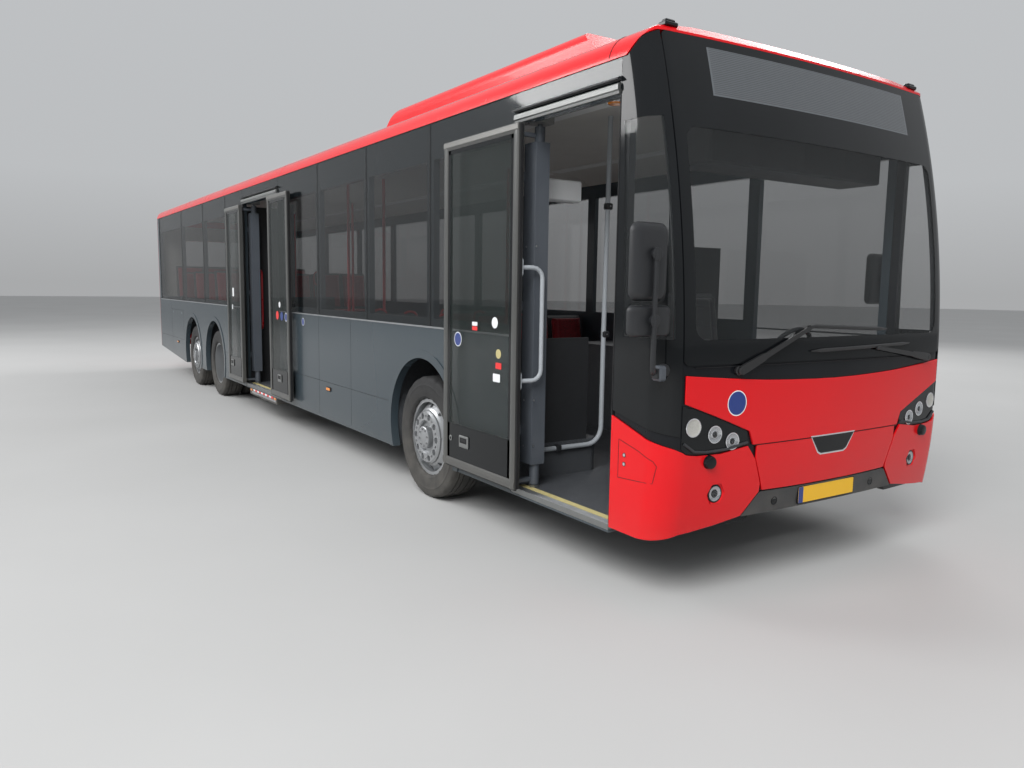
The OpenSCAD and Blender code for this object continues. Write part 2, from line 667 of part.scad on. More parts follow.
// Rows with one more where the bow ends and the corner begins
function with_bow_end(rows) = concat(
    [for (r = rows) if (r[0] < 1) r], [[1, lookup(1, low_edge(rows)), lookup(1, high_edge(rows))]],
    [for (r = rows) if (r[0] > 1) r]
);
module front_panels() {
    hood_rows = [for (r = HOOD) [at_y(r[0]), r[1], r[2]]];
    hood = with_bow_end(hood_rows);
    stations = concat([for (r = CORNER) if (r[0] < 1) r[0]], [1], corner_steps, [3]);
    corner = [for (u = stations) [u, lookup(u, low_edge(CORNER)), lookup(u, high_edge(CORNER))]];
    color(red) {
        front_panel(both(hood), 0, panel_t, 8);
        both_sides() difference() {
            front_panel(corner, 0, panel_t, 6);
            translate([nose_x - 200, FOG[0], FOG[1]]) rotate([0, 90, 0])
                cylinder(r = fog_hole, h = 300, $fn = 6);
        }
    }
}
module bumper() {
    rows = [[0, 430, 553], [at_y(350), 430, 555], [in_y(715), 430, 558], [in_y(687), 430, 552],
        [in_y(581), 430, 438]];
    color(dark) front_panel(both(rows), 4, panel_t, 2);
}

// Headlamps: [distance from the centre plane, height, radius]
LAMPS = [[half_w - 185, 951, 44], [half_w - 330, 906, 42], [half_w - 454, 861, 42]];
module headlamps() {
    pod = [
        [in_y(559), 832, 900], [in_y(415), 812, 958], [in_y(275), 808, 1010], [in_y(175), 820, 1046],
        [1.13, 846, 1060]
    ];
    color(dark) both_sides() front_panel(with_bow_end(pod), 8, panel_t, 2);
    fog_back = front_point(at_y(FOG[0]), FOG[1], mask_t0 - near);
    fog_axis = [1, FOG[0] / bow_r, (FOG[1] - hood_low) / chin_r];
    color(silver) both_sides() rod(fog_back, fog_back + (panel_t - 4) * fog_axis, FOG[2]);
    color(silver) both_sides() for (l = LAMPS)
        rod(front_point(at_y(l[0]), l[1], panel_t - 0.5), front_point(at_y(l[0]), l[1], 3), l[2]);
}

// Engine
module engine() {
    color(steel) block([engine_x0, engine_x1], [-380, 380], [480, deck_z - floor_t - 10]);
}

// Axles
axle_z = tyre_r - 3;
pin_r = 25;
eye_r = 50;
eye_h = 110;
// A steered axle's beam with its uprights and the eyes of its king pins
module steered_beam(x, z0, z1, spring_top) {
    upright_y = kingpin_y - 150;
    difference() {
        union() {
            block([x - 55, x + 55], [-upright_y - 45, upright_y + 45], [z0, z1]);
            for (s = [-1, 1]) translate([x, 0, axle_z]) {
                block([-55, 55], [s * upright_y - 45, s * upright_y + 45], [z0 - axle_z, eye_h / 2]);
                block([-40, 40], s > 0 ? [upright_y, kingpin_y] : [-kingpin_y, -upright_y],
                    [-eye_h / 2, eye_h / 2]);
                translate([0, s * kingpin_y, -eye_h / 2]) cylinder(r = eye_r, h = eye_h);
            }
            if (spring_top > z1) for (s = [-1, 1]) translate([x, s * rail_y, z1 - 1])
                cylinder(r = 48, h = spring_top - z1 + 1);
        }
        for (s = [-1, 1]) translate([x, s * kingpin_y, 0]) cylinder(r = pin_r + run, h = 1500);
    }
}
module drive_beam() {
    translate([drive_x, 0, axle_z]) {
        sphere(r = 175);
        rotate([90, 0, 0]) cylinder(r = 90, h = 1300, center = true);
        rotate([90, 0, 0]) cylinder(r = 75, h = 1720, center = true);
        rotate([90, 0, 0]) cylinder(r = spindle_r, h = 2110, center = true);
        for (s = [-1, 1]) translate([0, s * rail_y, 0]) cylinder(r = 70, h = high_rail_z - near - axle_z);
    }
}
module axles() {
    color(steel) {
        steered_beam(front_x, 160, rail_z - near, 0);
        steered_beam(tag_x, 300, 390, high_rail_z - near);
        drive_beam();
    }
}

// Wheels. A wheel's middle plane lies at y = 0 and its outer side faces +y.
spindle_r = 55;
rim_r = 286;            // bead seat
flange_r = 300;
rim_w = 210;
shoulder = 38;
module about_y() {
    rotate([-90, 0, 0]) rotate_extrude() children();
}
module tyre() {
    h = tyre_w / 2;
    color(dark) about_y() difference() {
        union() {
            translate([rim_r + near, -rim_w / 2 + 14]) square([50, rim_w - 28]);
            translate([flange_r + near, -h + 6]) square([tyre_r - shoulder - flange_r, tyre_w - 12]);
            translate([flange_r + 50, -h + shoulder + 6])
                square([tyre_r - flange_r - 50, tyre_w - 2 * shoulder - 12]);
            for (s = [-1, 1]) translate([tyre_r - shoulder, s * (h - shoulder - 6)]) circle(shoulder);
            for (s = [-1, 1]) translate([385, s * (h - 60)]) circle(60);
        }
        translate([0, -h]) square([rim_r + near, tyre_w]);
    }
}
// Half-section of a rim: barrel with its two flanges
module barrel() {
    difference() {
        translate([rim_r - 12, -rim_w / 2]) square([12, rim_w]);
        translate([0, -rim_w]) square([10, rim_w]);
    }
    for (s = [-1, 1]) translate([rim_r - 12, s * (rim_w / 2 - 6) - 6]) square([flange_r - rim_r + 12, 12]);
}
hub_r = 140;
disc_y = 112;           // outer face of a single wheel's disc
disc_t = 16;
nut_ring = [126, 208];  // inner and outer radius of the cover round the wheel nuts
nut_circle = 167.5;
nut_count = 10;
hand_hole_r = 17;
hand_circle = 243;
cap_r = 88;
module wheel_pattern(radius, turn = 0) {
    for (i = [0:nut_count - 1]) rotate([0, turn + i * 360 / nut_count, 0]) translate([radius, 0, 0])
        rotate([-90, 0, 0]) children();
}
// Front and tag wheels carry their disc on the outer side, with the hub standing proud
module single_rim() {
    back = disc_y - disc_t;
    color(silver) difference() {
        about_y() {
            barrel();
            polygon([[rim_r - 8, 24], [rim_r - 8, 44], [262, 66], [228, 100], [nut_ring[1] + 2, disc_y],
                [nut_ring[1], disc_y + 12], [nut_ring[1] - 14, disc_y + 26], [nut_ring[0] + 8, disc_y + 30],
                [nut_ring[0], disc_y + 20], [nut_ring[0], back], [nut_ring[1] - 4, back], [218, 86],
                [250, 54]]);
            translate([0, 20]) square([hub_r + 1, disc_y - 20]);
            translate([0, disc_y - 5]) square([cap_r, 50]);
        }
        rotate([-90, 0, 0]) translate([0, 0, 19]) cylinder(r = spindle_r + run, h = 90);
        rotate([-90, 0, 0]) translate([0, 0, disc_y + 25]) cylinder(r = cap_r - 18, h = 30);
        wheel_pattern(nut_circle) translate([0, 0, disc_y + 6]) cylinder(r = 24, h = 40);
        wheel_pattern(hand_circle, 180 / nut_count) cylinder(r = hand_hole_r, h = disc_y);
    }
}
// Twin wheels share one hub between their two discs
module twin_rim() {
    mid = -twin_pitch / 2;
    color(silver) difference() {
        about_y() {
            barrel();
            translate([0, -twin_pitch]) barrel();
            polygon([[rim_r - 8, -46], [rim_r - 8, -30], [222, mid + 16], [hub_r, mid + 16], [hub_r, mid],
                [232, mid]]);
            polygon([[rim_r - 8, 2 * mid + 46], [rim_r - 8, 2 * mid + 30], [222, mid - 16],
                [hub_r, mid - 16], [hub_r, mid], [232, mid]]);
            translate([0, mid - 60]) square([hub_r + 1, 120]);
            translate([0, mid]) square([110, 150]);
        }
        rotate([-90, 0, 0]) translate([0, 0, mid - 61]) cylinder(r = spindle_r + run, h = 180);
        wheel_pattern(hand_circle + 5, 180 / nut_count) translate([0, 0, -twin_pitch])
            cylinder(r = hand_hole_r, h = twin_pitch);
    }
}
wheel_y = track_out - tyre_w / 2;
module left_wheel(x) {
    translate([x, wheel_y, axle_z]) children();
}
module right_wheel(x) {
    mirror([0, 1, 0]) left_wheel(x) children();
}

// Steering knuckle of the left side: two bosses on the king pin, an upright and the spindle
module knuckle(x) {
    boss_h = 34;
    reach = 58;
    color(steel) translate([x, kingpin_y, axle_z]) {
        cylinder(r = pin_r, h = eye_h + 40, center = true);
        for (s = [-1, 1]) translate([0, 0, s * (eye_h / 2 + 1 + boss_h / 2)])
            cylinder(r = 40, h = boss_h, center = true);
        for (s = [-1, 1]) translate([-38, 0, s * (eye_h / 2 + 1 + boss_h / 2) - boss_h / 2])
            cube([76, reach + 20, boss_h]);
        translate([-38, reach, -eye_h / 2 - 1 - boss_h]) cube([76, 20, eye_h + 2 * boss_h + 2]);
        rotate([-90, 0, 0]) translate([0, 0, reach + 5])
            cylinder(r = spindle_r + 15, h = wheel_y + 18 - kingpin_y - reach - 5);
        rotate([-90, 0, 0]) translate([0, 0, reach + 5])
            cylinder(r = spindle_r, h = wheel_y + 105 - kingpin_y - reach - 5);
    }
}

// Door leaves. Each moves outwards on the two arms of a turning post and stays parallel to the side.
leaf_z0 = 385;
leaf_z1 = door_top - 18;
meeting_gap = 10;
front_leaf_w = front_door_x1 - front_door_x0 - 2 * leaf_gap;
mid_leaf_w = (mid_door_x1 - mid_door_x0 - 2 * leaf_gap - meeting_gap) / 2;
leaf_shut_y = -half_w + 4 + leaf_t / 2;
leaf_open_y = -half_w - leaf_out + leaf_t / 2;
pivot_in = leaf_t / 2 + 18;
post_y = -half_w + post_in;
// Middle of each leaf when shut, and its signed travel to the open place
front_shut = (front_door_x0 + front_door_x1) / 2;
rear_shut = mid_door_x0 + leaf_gap + mid_leaf_w / 2;
fore_shut = mid_door_x1 - leaf_gap - mid_leaf_w / 2;
// A post stands where the open and the shut pivot are equally far from it
function post_place(shut, travel) = shut + travel / 2
    - (post_y - (leaf_shut_y + leaf_open_y) / 2 - pivot_in) * (leaf_open_y - leaf_shut_y) / travel;
arm_r = 11;
pin = 8;
lug_h = 12;
post_r = 32;
journal_r = 15;
arm_levels = [[leaf_z0 + 20, 24], [leaf_z1 - 60, 24]];      // [lower face, thickness]
module post(shut, travel) {
    px = post_place(shut, travel);
    lx = shut + travel;
    ly = leaf_open_y + pivot_in;
    side = sign(travel);
    color(steel) {
        translate([px, post_y, floor_z + 20]) cylinder(r = post_r, h = door_top - 15 - floor_z - 20);
        translate([px, post_y, floor_z + 1]) cylinder(r = journal_r, h = door_top + 20 - floor_z);
        for (a = arm_levels) translate([0, 0, a[0]]) {
            linear_extrude(a[1]) {
                translate([min(px, px + side * 12) - 16, ly - arm_r]) square([32, post_y - ly + arm_r]);
                translate([min(lx, px), ly - arm_r]) square([abs(px - lx), 2 * arm_r]);
                translate([lx, ly]) circle(arm_r);
            }
            translate([lx, ly, 0]) cylinder(r = pin, h = a[1] + near + lug_h);
        }
    }
}
bar = 58;               // width of a leaf's frame
bulge = 6;              // rise of the rounded profiles on its outer face
// Rounded profile of length l along +z, rising from y = 0 towards -y
module frame_profile(l) {
    arc = [for (i = [0:6]) let (f = i / 3 - 1) [f * bar / 2, -bulge * (1 - f * f)]];
    linear_extrude(l) polygon(concat([[-bar / 2, 2]], arc, [[bar / 2, 2]]));
}
module leaf(shut, travel, w) {
    x = shut + travel;
    outer = leaf_open_y - leaf_t / 2;
    color(anthracite) {
        for (s = [-1, 1]) translate([x + s * (w - bar) / 2, outer, leaf_z0])
            frame_profile(leaf_z1 - leaf_z0);
        for (z = [leaf_z0, leaf_z1 - bar]) translate([x - w / 2, outer, z + bar / 2]) rotate([0, 90, 0])
            frame_profile(w);
        difference() {
            block([x - w / 2, x + w / 2], [leaf_open_y - leaf_t / 2, leaf_open_y + leaf_t / 2],
                [leaf_z0, leaf_z1]);
            block([x - w / 2 + bar, x + w / 2 - bar], [leaf_open_y - leaf_t, leaf_open_y + leaf_t],
                [leaf_z0 + bar + 240, leaf_z1 - bar]);
            block([x - w / 2 + bar, x + w / 2 - bar], [leaf_open_y - leaf_t, outer + glass_t + 4],
                [leaf_z0 + bar, leaf_z1 - bar]);
        }
        for (a = arm_levels) translate([0, 0, a[0] + a[1] + near]) difference() {
            union() {
                translate([x - 22, leaf_open_y + leaf_t / 2 - 1, 0])
                    cube([44, pivot_in - leaf_t / 2 + 1, lug_h]);
                translate([x, leaf_open_y + pivot_in, 0]) cylinder(r = 13, h = lug_h);
            }
            translate([x, leaf_open_y + pivot_in, -1]) cylinder(r = pin + run, h = lug_h + 2);
        }
    }
}
module pane(shut, travel, w) {
    x = shut + travel;
    outer = leaf_open_y - leaf_t / 2 + 3;
    color(tint) block([x - w / 2 + bar + 1, x + w / 2 - bar - 1], [outer, outer + glass_t + 1 - near],
        [leaf_z0 + bar + 1, leaf_z1 - bar - 1]);
}
module door_frames() {
    color(steel) for (p = [[front_shut, -front_travel], [rear_shut, -mid_travel],
        [fore_shut, mid_travel]]) {
        px = post_place(p[0], p[1]);
        translate([px, post_y, 0]) difference() {
            union() {
                translate([-60, -50, door_top + 1]) cube([120, 115, 40]);
                translate([0, 0, floor_z + near]) cylinder(r = 34, h = 14);
            }
            translate([0, 0, 0]) cylinder(r = journal_r + run, h = 4000);
        }
    }
    color(silver) for (d = [[front_door_x0, front_door_x1], [mid_door_x0, mid_door_x1]]) {
        block([d[0] + 2, d[1] - 2], [-half_w + wall_t + near, post_y - 52], [door_top + 1, door_top + 41]);
        block([d[0] + near, d[1] - near], [-half_w + 3, -half_w + wall_t], [sill_z + near, floor_z]);
        along_x(d[0] + near, d[1] - near) header_profile();
    }
}
// Profile over a doorway: it seats on the wall below the cover glass and laps over that glass
header_h = 56;
module header_profile() {
    wall_face = -glass_y + glass_t + near;
    lip = door_top + 24;
    polygon([[wall_face - near, door_top + 2], [wall_face - near, lip], [-glass_y - near, lip],
        [-glass_y - near, door_top + header_h], [-half_w - 4, door_top + header_h],
        [-half_w - 12, door_top + header_h - 6], [-half_w - 15, door_top + header_h - 16],
        [-half_w - 15, door_top + 22], [-half_w - 8, door_top + 16],
        [-half_w - 6, door_top + 2]]);
}
// Strips that keep rain off the doorways
module rain_strips() {
    foot = door_top + header_h + 12;
    color(dark) for (d = [[front_door_x0 - 12, front_door_x1 + 8], [mid_door_x0 - 18, mid_door_x1 + 28]])
        along_x(d[0], d[1]) polygon([[-glass_y - near, foot], [-glass_y - near, foot + 20],
            [-half_w - 6, foot + 18], [-half_w - 24, foot + 8], [-half_w - 24, foot + 2],
            [-half_w - 4, foot + 6],
            [-half_w - 2, foot]]);
}

// Fixed covers of the turning posts, between the levels of the arms
module post_covers() {
    z = [floor_z + 155, leaf_z1 - 90];
    wall = 4;
    color(anthracite) for (p = [[front_shut, -front_travel], [rear_shut, -mid_travel],
        [fore_shut, mid_travel]])
        translate([post_place(p[0], p[1]), post_y, 0]) mirror([p[1] < 0 ? 1 : 0, 0, 0]) {
            difference() {
                block([-post_r - 8, 92], [-50, 50], z);
                block([-post_r - 8 + wall, 92 - wall], [-50 + wall, 50 - wall], [z[0] - 1, z[1] + 1]);
            }
            for (h = [700, 1500, 2300]) block([80, 92], [wall_t - post_in + near, -49], [h, h + 60]);
        }
}
// Handle of the front leaf
module door_handle() {
    edge = front_shut - front_travel + front_leaf_w / 2;
    foot_y = leaf_open_y + leaf_t / 2 + near;
    z = [1068, 1768];
    color(silver) {
        bow_handle([edge - 22, foot_y + 4, 0], [27, 143, 0], z[0], z[1], 65, 14);
        for (h = z) translate([edge - 22, foot_y, h]) rotate([-90, 0, 0]) linear_extrude(8)
            rounded(42, 114, 20.9);
    }
}

// Ramp in its cassette below the middle doorway
ramp_x = (mid_door_x0 + mid_door_x1) / 2;
ramp_w = 1000;
ramp_z = 262;
ramp_in = -rail_y - rail_w / 2 - 10;     // inner end of the cassette
module ramp_cassette() {
    color(steel) difference() {
        block([ramp_x - 560, ramp_x + 560], [-half_w + 2, ramp_in], [245, skirt_z - near]);
        block([ramp_x - ramp_w / 2 - 8, ramp_x + ramp_w / 2 + 8], [-half_w, ramp_in - 10],
            [ramp_z - near, ramp_z + 31]);
    }
}
module ramp() {
    color(silver) block([ramp_x - ramp_w / 2, ramp_x + ramp_w / 2], [-half_w + 4, ramp_in - 14],
        [ramp_z, ramp_z + 25]);
}

// Rows of seats on the low floor, counted back from the front wheel boxes
row_pitch = 750;
row_front = front_x - 1130;
row_count = floor((row_front - mid_door_x1 - 700) / row_pitch) + 1;
row_back = row_front - (row_count - 1) * row_pitch;
// Seats: [position, height that carries the seat, height of the feet]
SEATS = concat([for (i = [0:row_count - 1]) [row_front - i * row_pitch, floor_z, floor_z]], [
    [drive_x - 210, box_top + box_t, podium_z],
    [tag_x - 170, box_top + box_t, podium_z],
    [tag_x - 1070, podium_z, podium_z]
]);
module seat_profile(drop, feet) {
    polygon([[90, drop], [330, drop], [330, feet + 350], [430, feet + 370], [450, feet + 440],
        [60, feet + 430],
        [-30, feet + 1000], [-85, feet + 990], [0, feet + 350], [90, feet + 350]]);
}
bench_w = body_w - 190;
seat_w = 860;           // width of a pair of seats
module seats() {
    back_x = deck_x - 420;
    color(red) translate([0, bench_w / 2, 0]) rotate([90, 0, 0]) linear_extrude(bench_w)
        polygon([[deck_x + 30, deck_z + near], [deck_x + 30, deck_z + 90], [back_x + 60, deck_z + 70],
            [back_x - 30, deck_z + 640], [back_x - 90, deck_z + 630], [back_x - 40, deck_z + near]]);
    color(red) for (r = SEATS, s = [-1, 1])
        translate([r[0], s * (half_w - 80 - seat_w / 2) + seat_w / 2, 0]) rotate([90, 0, 0])
            linear_extrude(seat_w)
            seat_profile(r[1] + near, r[2]);
}

// Driver's place on its step
cab_x0 = nose_x - 2050;
cab_x1 = nose_x - 550;
cab_y = 150;
cab_z = 620;
cab_top = 2000;
module driver_cab() {
    color(dark) {
        block([cab_x0, cab_x1], [cab_y, floor_w], [floor_z + near, cab_z]);
        block([cab_x0, cab_x0 + 30], [cab_y, floor_w], [cab_z - 1, cab_top]);
        block([cab_x0, cab_x1 - 400], [cab_y, cab_y + 30], [cab_z - 1, 1300]);
    }
}
module driver_seat() {
    color(dark) translate([cab_x0 + 280, half_w - 835, 0]) {
        translate([0, 500, 0]) rotate([90, 0, 0]) linear_extrude(500) seat_profile(cab_z + near, cab_z);
    }
}
wheel_hub = [cab_x1 - 340, half_w - 585, 1180];      // middle of the steering wheel
module dashboard() {
    color(dark) {
        translate([cab_x1, half_w - 125, 0]) rotate([90, 0, 0]) linear_extrude(half_w - 125)
            polygon([[-120, cab_z + near], [0, cab_z + near], [200, 700], [260, 1150], [100, 1200],
                [-150, 1130]]);
        translate(wheel_hub) rotate([0, -65, 0]) {
            rotate_extrude() translate([225, 0]) circle(16);
            cylinder(r = 60, h = 30, center = true);
            for (a = [0, 120, 240]) rotate([0, 0, a]) translate([0, -14, -8]) cube([230, 28, 16]);
        }
        rod(wheel_hub + [-10, 0, -5], [cab_x1 - 20, wheel_hub[1], 1010], 35);
    }
}
// Poles: [x, y, foot]
aisle_y = 330;
POLES = [
    [row_back - 150, aisle_y, floor_z], [row_back - 150, -aisle_y, floor_z],
    [row_front - 150, aisle_y, floor_z], [row_front - 150, -aisle_y, floor_z],
    [mid_door_x0 - 478, 400, floor_z], [mid_door_x1 + 58, -460, floor_z],
    [tag_x + 310, aisle_y, podium_z], [tag_x + 310, -aisle_y, podium_z],
    [tag_x - 590, aisle_y, podium_z], [tag_x - 590, -aisle_y, podium_z]
];
ceiling_z = roof_z - roof_t;
pole_r = 17;
function crown_drop(y) = crown_r - sqrt(pow(crown_r, 2) - pow(y, 2));
module grab_rails() {
    color(red) {
        for (p = POLES) translate([p[0], p[1], p[2] + near])
            cylinder(r = pole_r, h = ceiling_z - p[2] - 2 * near - crown_drop(p[1]) - 2);
        bow_handle([screen_x + near, 225 - half_w, 0], [62, 0, 0], 1065, 1815, 50, 15);
    }
}
// Stanchion behind the front doorway, bent outwards at its foot
module entry_rail() {
    x = ledge_x + pole_r + near;
    y = ledge_y + 8;
    foot = ledge_z - 40;
    bend = 120;
    color(silver) tube(concat([[x, y + 12, ceiling_z - 24], [x, y, 1300]],
        [for (a = [0:15:90]) [x, y - bend * (1 - cos(a)), foot + bend * (1 - sin(a))]],
        [[x, 215 - half_w, foot]]), pole_r, [1, 0, 0]);
}
// Draught screens: [rear face, end towards the side, end towards the aisle, lower edge, upper edge]
screen_x = mid_door_x0 - 56;
SCREENS = [
    [screen_x - 24, 75 - half_w, 575 - half_w, floor_z, 2620],
    [mid_door_x1 + 38, 75 - half_w, 635 - half_w, floor_z, 1500],
    [ledge_x - 24, 115 - half_w, 695 - half_w, ledge_z, 1310]
];
module screens() {
    color(dark) for (r = SCREENS) block([r[0], r[0] + 24], [r[1], r[2]], [r[3] + near, r[4]]);
}

// Mirrors: heads of [height of lower edge, height, inner edge, outer edge] on their arms
head_t = 60;
head_r = 46;            // radius of the heads' corners
arm_r_mirror = 13;
// A head about its middle, with a rounded back that faces +x
module mirror_head(w, h) {
    layers = [[0, 4], [3, 0], [26, 0], [42, 6], [54, 17], [head_t, 32]];      // [height, inset]
    steps = 5;
    n = 4 * (steps + 1);
    function side(q) = q == 1 || q == 2 ? -1 : 1;
    function upper(q) = q > 1 ? -1 : 1;
    function corner(r) = [for (q = [0:3], k = [0:steps]) let (a = 90 * (q + k / steps))
        [side(q) * (w / 2 - head_r) + r * cos(a), upper(q) * (h / 2 - head_r) + r * sin(a)]];
    points = [for (l = layers, c = corner(head_r - l[1])) [l[0], c[0], c[1]]];
    function at(i, k) = i * n + k % n;
    polyhedron(points, concat(
        [[for (k = [0:n - 1]) k]],
        [for (i = [0:len(layers) - 2], k = [0:n - 1]) each [
            [at(i, k), at(i + 1, k), at(i + 1, k + 1)], [at(i, k), at(i + 1, k + 1), at(i, k + 1)]
        ]],
        [[for (k = [n - 1:-1:0]) at(len(layers) - 1, k)]]
    ));
}
module mirrors() {
    dish_z = 1800;
    boss_z = 1497;
    arm_x = nose_x - 12;
    head_x = nose_x - 90;
    arm_y = -half_w - 150;
    foot_z = 1245;
    left_x = nose_x - 730;
    color(dark) {
        difference() {
            union() {
                difference() {
                    translate([head_x, arm_y + 5, 1775]) mirror_head(220, 370);
                    translate([head_x + head_t - 10, arm_y, dish_z]) rotate([0, 90, 0])
                        cylinder(r = 64, h = 20);
                }
                translate([head_x, arm_y + 15, 1495]) mirror_head(250, 150);
                translate([head_x + head_t - 1, arm_y, boss_z]) rotate([0, 90, 0])
                    cylinder(r1 = 49, r2 = 45, h = 8);
                rod([arm_x, arm_y, foot_z], [arm_x, arm_y, dish_z + 20], arm_r_mirror);
                rod([arm_x, arm_y, dish_z], [head_x + head_t - 20, arm_y, dish_z], 24);
                rod([arm_x + 8, arm_y, boss_z], [head_x + head_t - 20, arm_y, boss_z], 29);
                rod([arm_x, arm_y, foot_z], [arm_x - 158, -half_w + 75, foot_z], 16);
                translate([arm_x, arm_y, foot_z]) sphere(r = 20);
            }
            plan_prism(foot_z, foot_z - 60, foot_z + 60, glass_inset - near);
        }
        translate([left_x, -arm_y + 5, 1745]) mirror_head(210, 370);
        rod([left_x + 75, -arm_y + 5, 990], [left_x + 75, -arm_y + 5, 1900], arm_r_mirror);
        rod([left_x + 75, -arm_y + 5, 1745], [left_x + head_t - 10, -arm_y + 5, 1745], 20);
        rod([left_x + 75, -arm_y + 5, 1000], [left_x + 75, half_w + near, 1000], 16);
    }
}
// Wipers: [pivot y, pivot z, arm tip y, arm tip z, blade y and z at its ends]
WIPERS = [
    [-800, 1232, -262, 1454, -288, 1458, 475, 1429],
    [985, 1240, 380, 1318, -249, 1319, 744, 1337]
];
module wipers() {
    pieces = 6;
    color(dark) for (w = WIPERS) {
        pivot = front_point(at_y(w[0]), w[1], -14);
        tip = front_point(at_y(w[2]), w[3], -15);
        rod(front_point(at_y(w[0]), w[1], mask_t0 - 0.4), pivot, 18);
        rod(pivot, tip, 9);
        blade = [for (i = [0:pieces]) let (f = i / pieces)
            front_point(at_y(w[4] + f * (w[6] - w[4])), w[5] + f * (w[7] - w[5]), glass_inset - 8)];
        tube(blade, 7, [1, 0, 0], 8);
    }
}

module twin_tyres() {
    tyre();
    translate([0, -twin_pitch, 0]) tyre();
}

chassis();
floor();
side_right();
side_left();
rear_wall();
roof();
roof_unit();
front_mask();
front_panels();
bumper();
windscreen();
corner_glass();
side_glass();
headlamps();
tail_lamps();
engine();
axles();
seats();
driver_seat();
dashboard();
driver_cab();
grab_rails();
entry_rail();
screens();
mirrors();
wipers();
ramp_cassette();
door_frames();
rain_strips();
post_covers();
door_handle();
knuckle(front_x);  // knuckle_front_left
mirror([0, 1, 0]) knuckle(front_x);  // knuckle_front_right
knuckle(tag_x);  // knuckle_tag_left
mirror([0, 1, 0]) knuckle(tag_x);  // knuckle_tag_right
left_wheel(front_x) single_rim();  // rim_front_left
right_wheel(front_x) single_rim();  // rim_front_right
left_wheel(drive_x) twin_rim();  // rim_drive_left
right_wheel(drive_x) twin_rim();  // rim_drive_right
left_wheel(tag_x) single_rim();  // rim_tag_left
right_wheel(tag_x) single_rim();  // rim_tag_right
left_wheel(front_x) tyre();  // tyre_front_left
right_wheel(front_x) tyre();  // tyre_front_right
left_wheel(drive_x) twin_tyres();  // tyre_drive_left
right_wheel(drive_x) twin_tyres();  // tyre_drive_right
left_wheel(tag_x) tyre();  // tyre_tag_left
right_wheel(tag_x) tyre();  // tyre_tag_right
post(front_shut, -front_travel);  // post_front
post(rear_shut, -mid_travel);  // post_mid_rear
post(fore_shut, mid_travel);  // post_mid_front
leaf(front_shut, -front_travel, front_leaf_w);  // leaf_front
leaf(rear_shut, -mid_travel, mid_leaf_w);  // leaf_mid_rear
leaf(fore_shut, mid_travel, mid_leaf_w);  // leaf_mid_front
pane(front_shut, -front_travel, front_leaf_w);  // pane_front
pane(rear_shut, -mid_travel, mid_leaf_w);  // pane_mid_rear
pane(fore_shut, mid_travel, mid_leaf_w);  // pane_mid_front
ramp();
engine_hatch();
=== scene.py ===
import json
import math
from itertools import product

import bmesh
import bpy
from mathutils import Matrix, Vector


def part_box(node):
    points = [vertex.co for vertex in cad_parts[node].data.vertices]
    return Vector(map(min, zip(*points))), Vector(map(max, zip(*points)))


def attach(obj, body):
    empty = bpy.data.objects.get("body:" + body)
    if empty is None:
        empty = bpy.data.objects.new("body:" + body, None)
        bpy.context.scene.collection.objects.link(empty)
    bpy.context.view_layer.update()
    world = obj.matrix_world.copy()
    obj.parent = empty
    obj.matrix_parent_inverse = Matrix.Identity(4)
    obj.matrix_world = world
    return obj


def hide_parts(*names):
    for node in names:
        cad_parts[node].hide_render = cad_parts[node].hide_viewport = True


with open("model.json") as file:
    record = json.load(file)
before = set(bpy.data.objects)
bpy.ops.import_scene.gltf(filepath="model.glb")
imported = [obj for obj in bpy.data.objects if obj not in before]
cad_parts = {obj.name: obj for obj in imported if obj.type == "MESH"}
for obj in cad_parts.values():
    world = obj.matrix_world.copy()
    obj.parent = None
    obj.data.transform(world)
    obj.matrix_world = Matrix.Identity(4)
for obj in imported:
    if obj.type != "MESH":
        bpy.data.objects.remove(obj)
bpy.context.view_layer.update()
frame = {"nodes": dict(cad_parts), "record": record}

# The camera stands where the photograph was taken from
CAMERA = Vector((9.6148, -4.0537, 1.6465))
YAW, PITCH, ROLL = math.radians(146.606), math.radians(-6.923), math.radians(0.814)
LENS, SENSOR = 28.02, 36.0


def make_camera():
    """The photograph's camera, turned by yaw, pitch and roll."""
    forward = Vector((math.cos(YAW) * math.cos(PITCH), math.sin(YAW) * math.cos(PITCH), math.sin(PITCH)))
    right0 = Vector((math.sin(YAW), -math.cos(YAW), 0))
    up0 = right0.cross(forward)
    right = right0 * math.cos(ROLL) + up0 * math.sin(ROLL)
    up = up0 * math.cos(ROLL) - right0 * math.sin(ROLL)
    data = bpy.data.cameras.new("camera")
    data.sensor_width = SENSOR
    data.lens = LENS
    data.clip_end = 200
    obj = bpy.data.objects.new("camera", data)
    bpy.context.scene.collection.objects.link(obj)
    obj.matrix_world = Matrix((
        (right.x, up.x, -forward.x, CAMERA.x),
        (right.y, up.y, -forward.y, CAMERA.y),
        (right.z, up.z, -forward.z, CAMERA.z),
        (0, 0, 0, 1),
    ))
    bpy.context.scene.camera = obj


make_camera()


# Materials
def new_material(name):
    mat = bpy.data.materials.new(name)
    mat.use_nodes = True
    return mat, mat.node_tree.nodes, mat.node_tree.links, mat.node_tree.nodes["Principled BSDF"]


def add_noise(nodes, links, scale, detail, coords=None):
    """A noise pattern in the object's own space."""
    if coords is None:
        coords = nodes.new("ShaderNodeTexCoord")
    noise = nodes.new("ShaderNodeTexNoise")
    noise.inputs["Scale"].default_value = scale
    noise.inputs["Detail"].default_value = detail
    links.new(coords.outputs["Object"], noise.inputs["Vector"])
    return noise.outputs["Fac"]


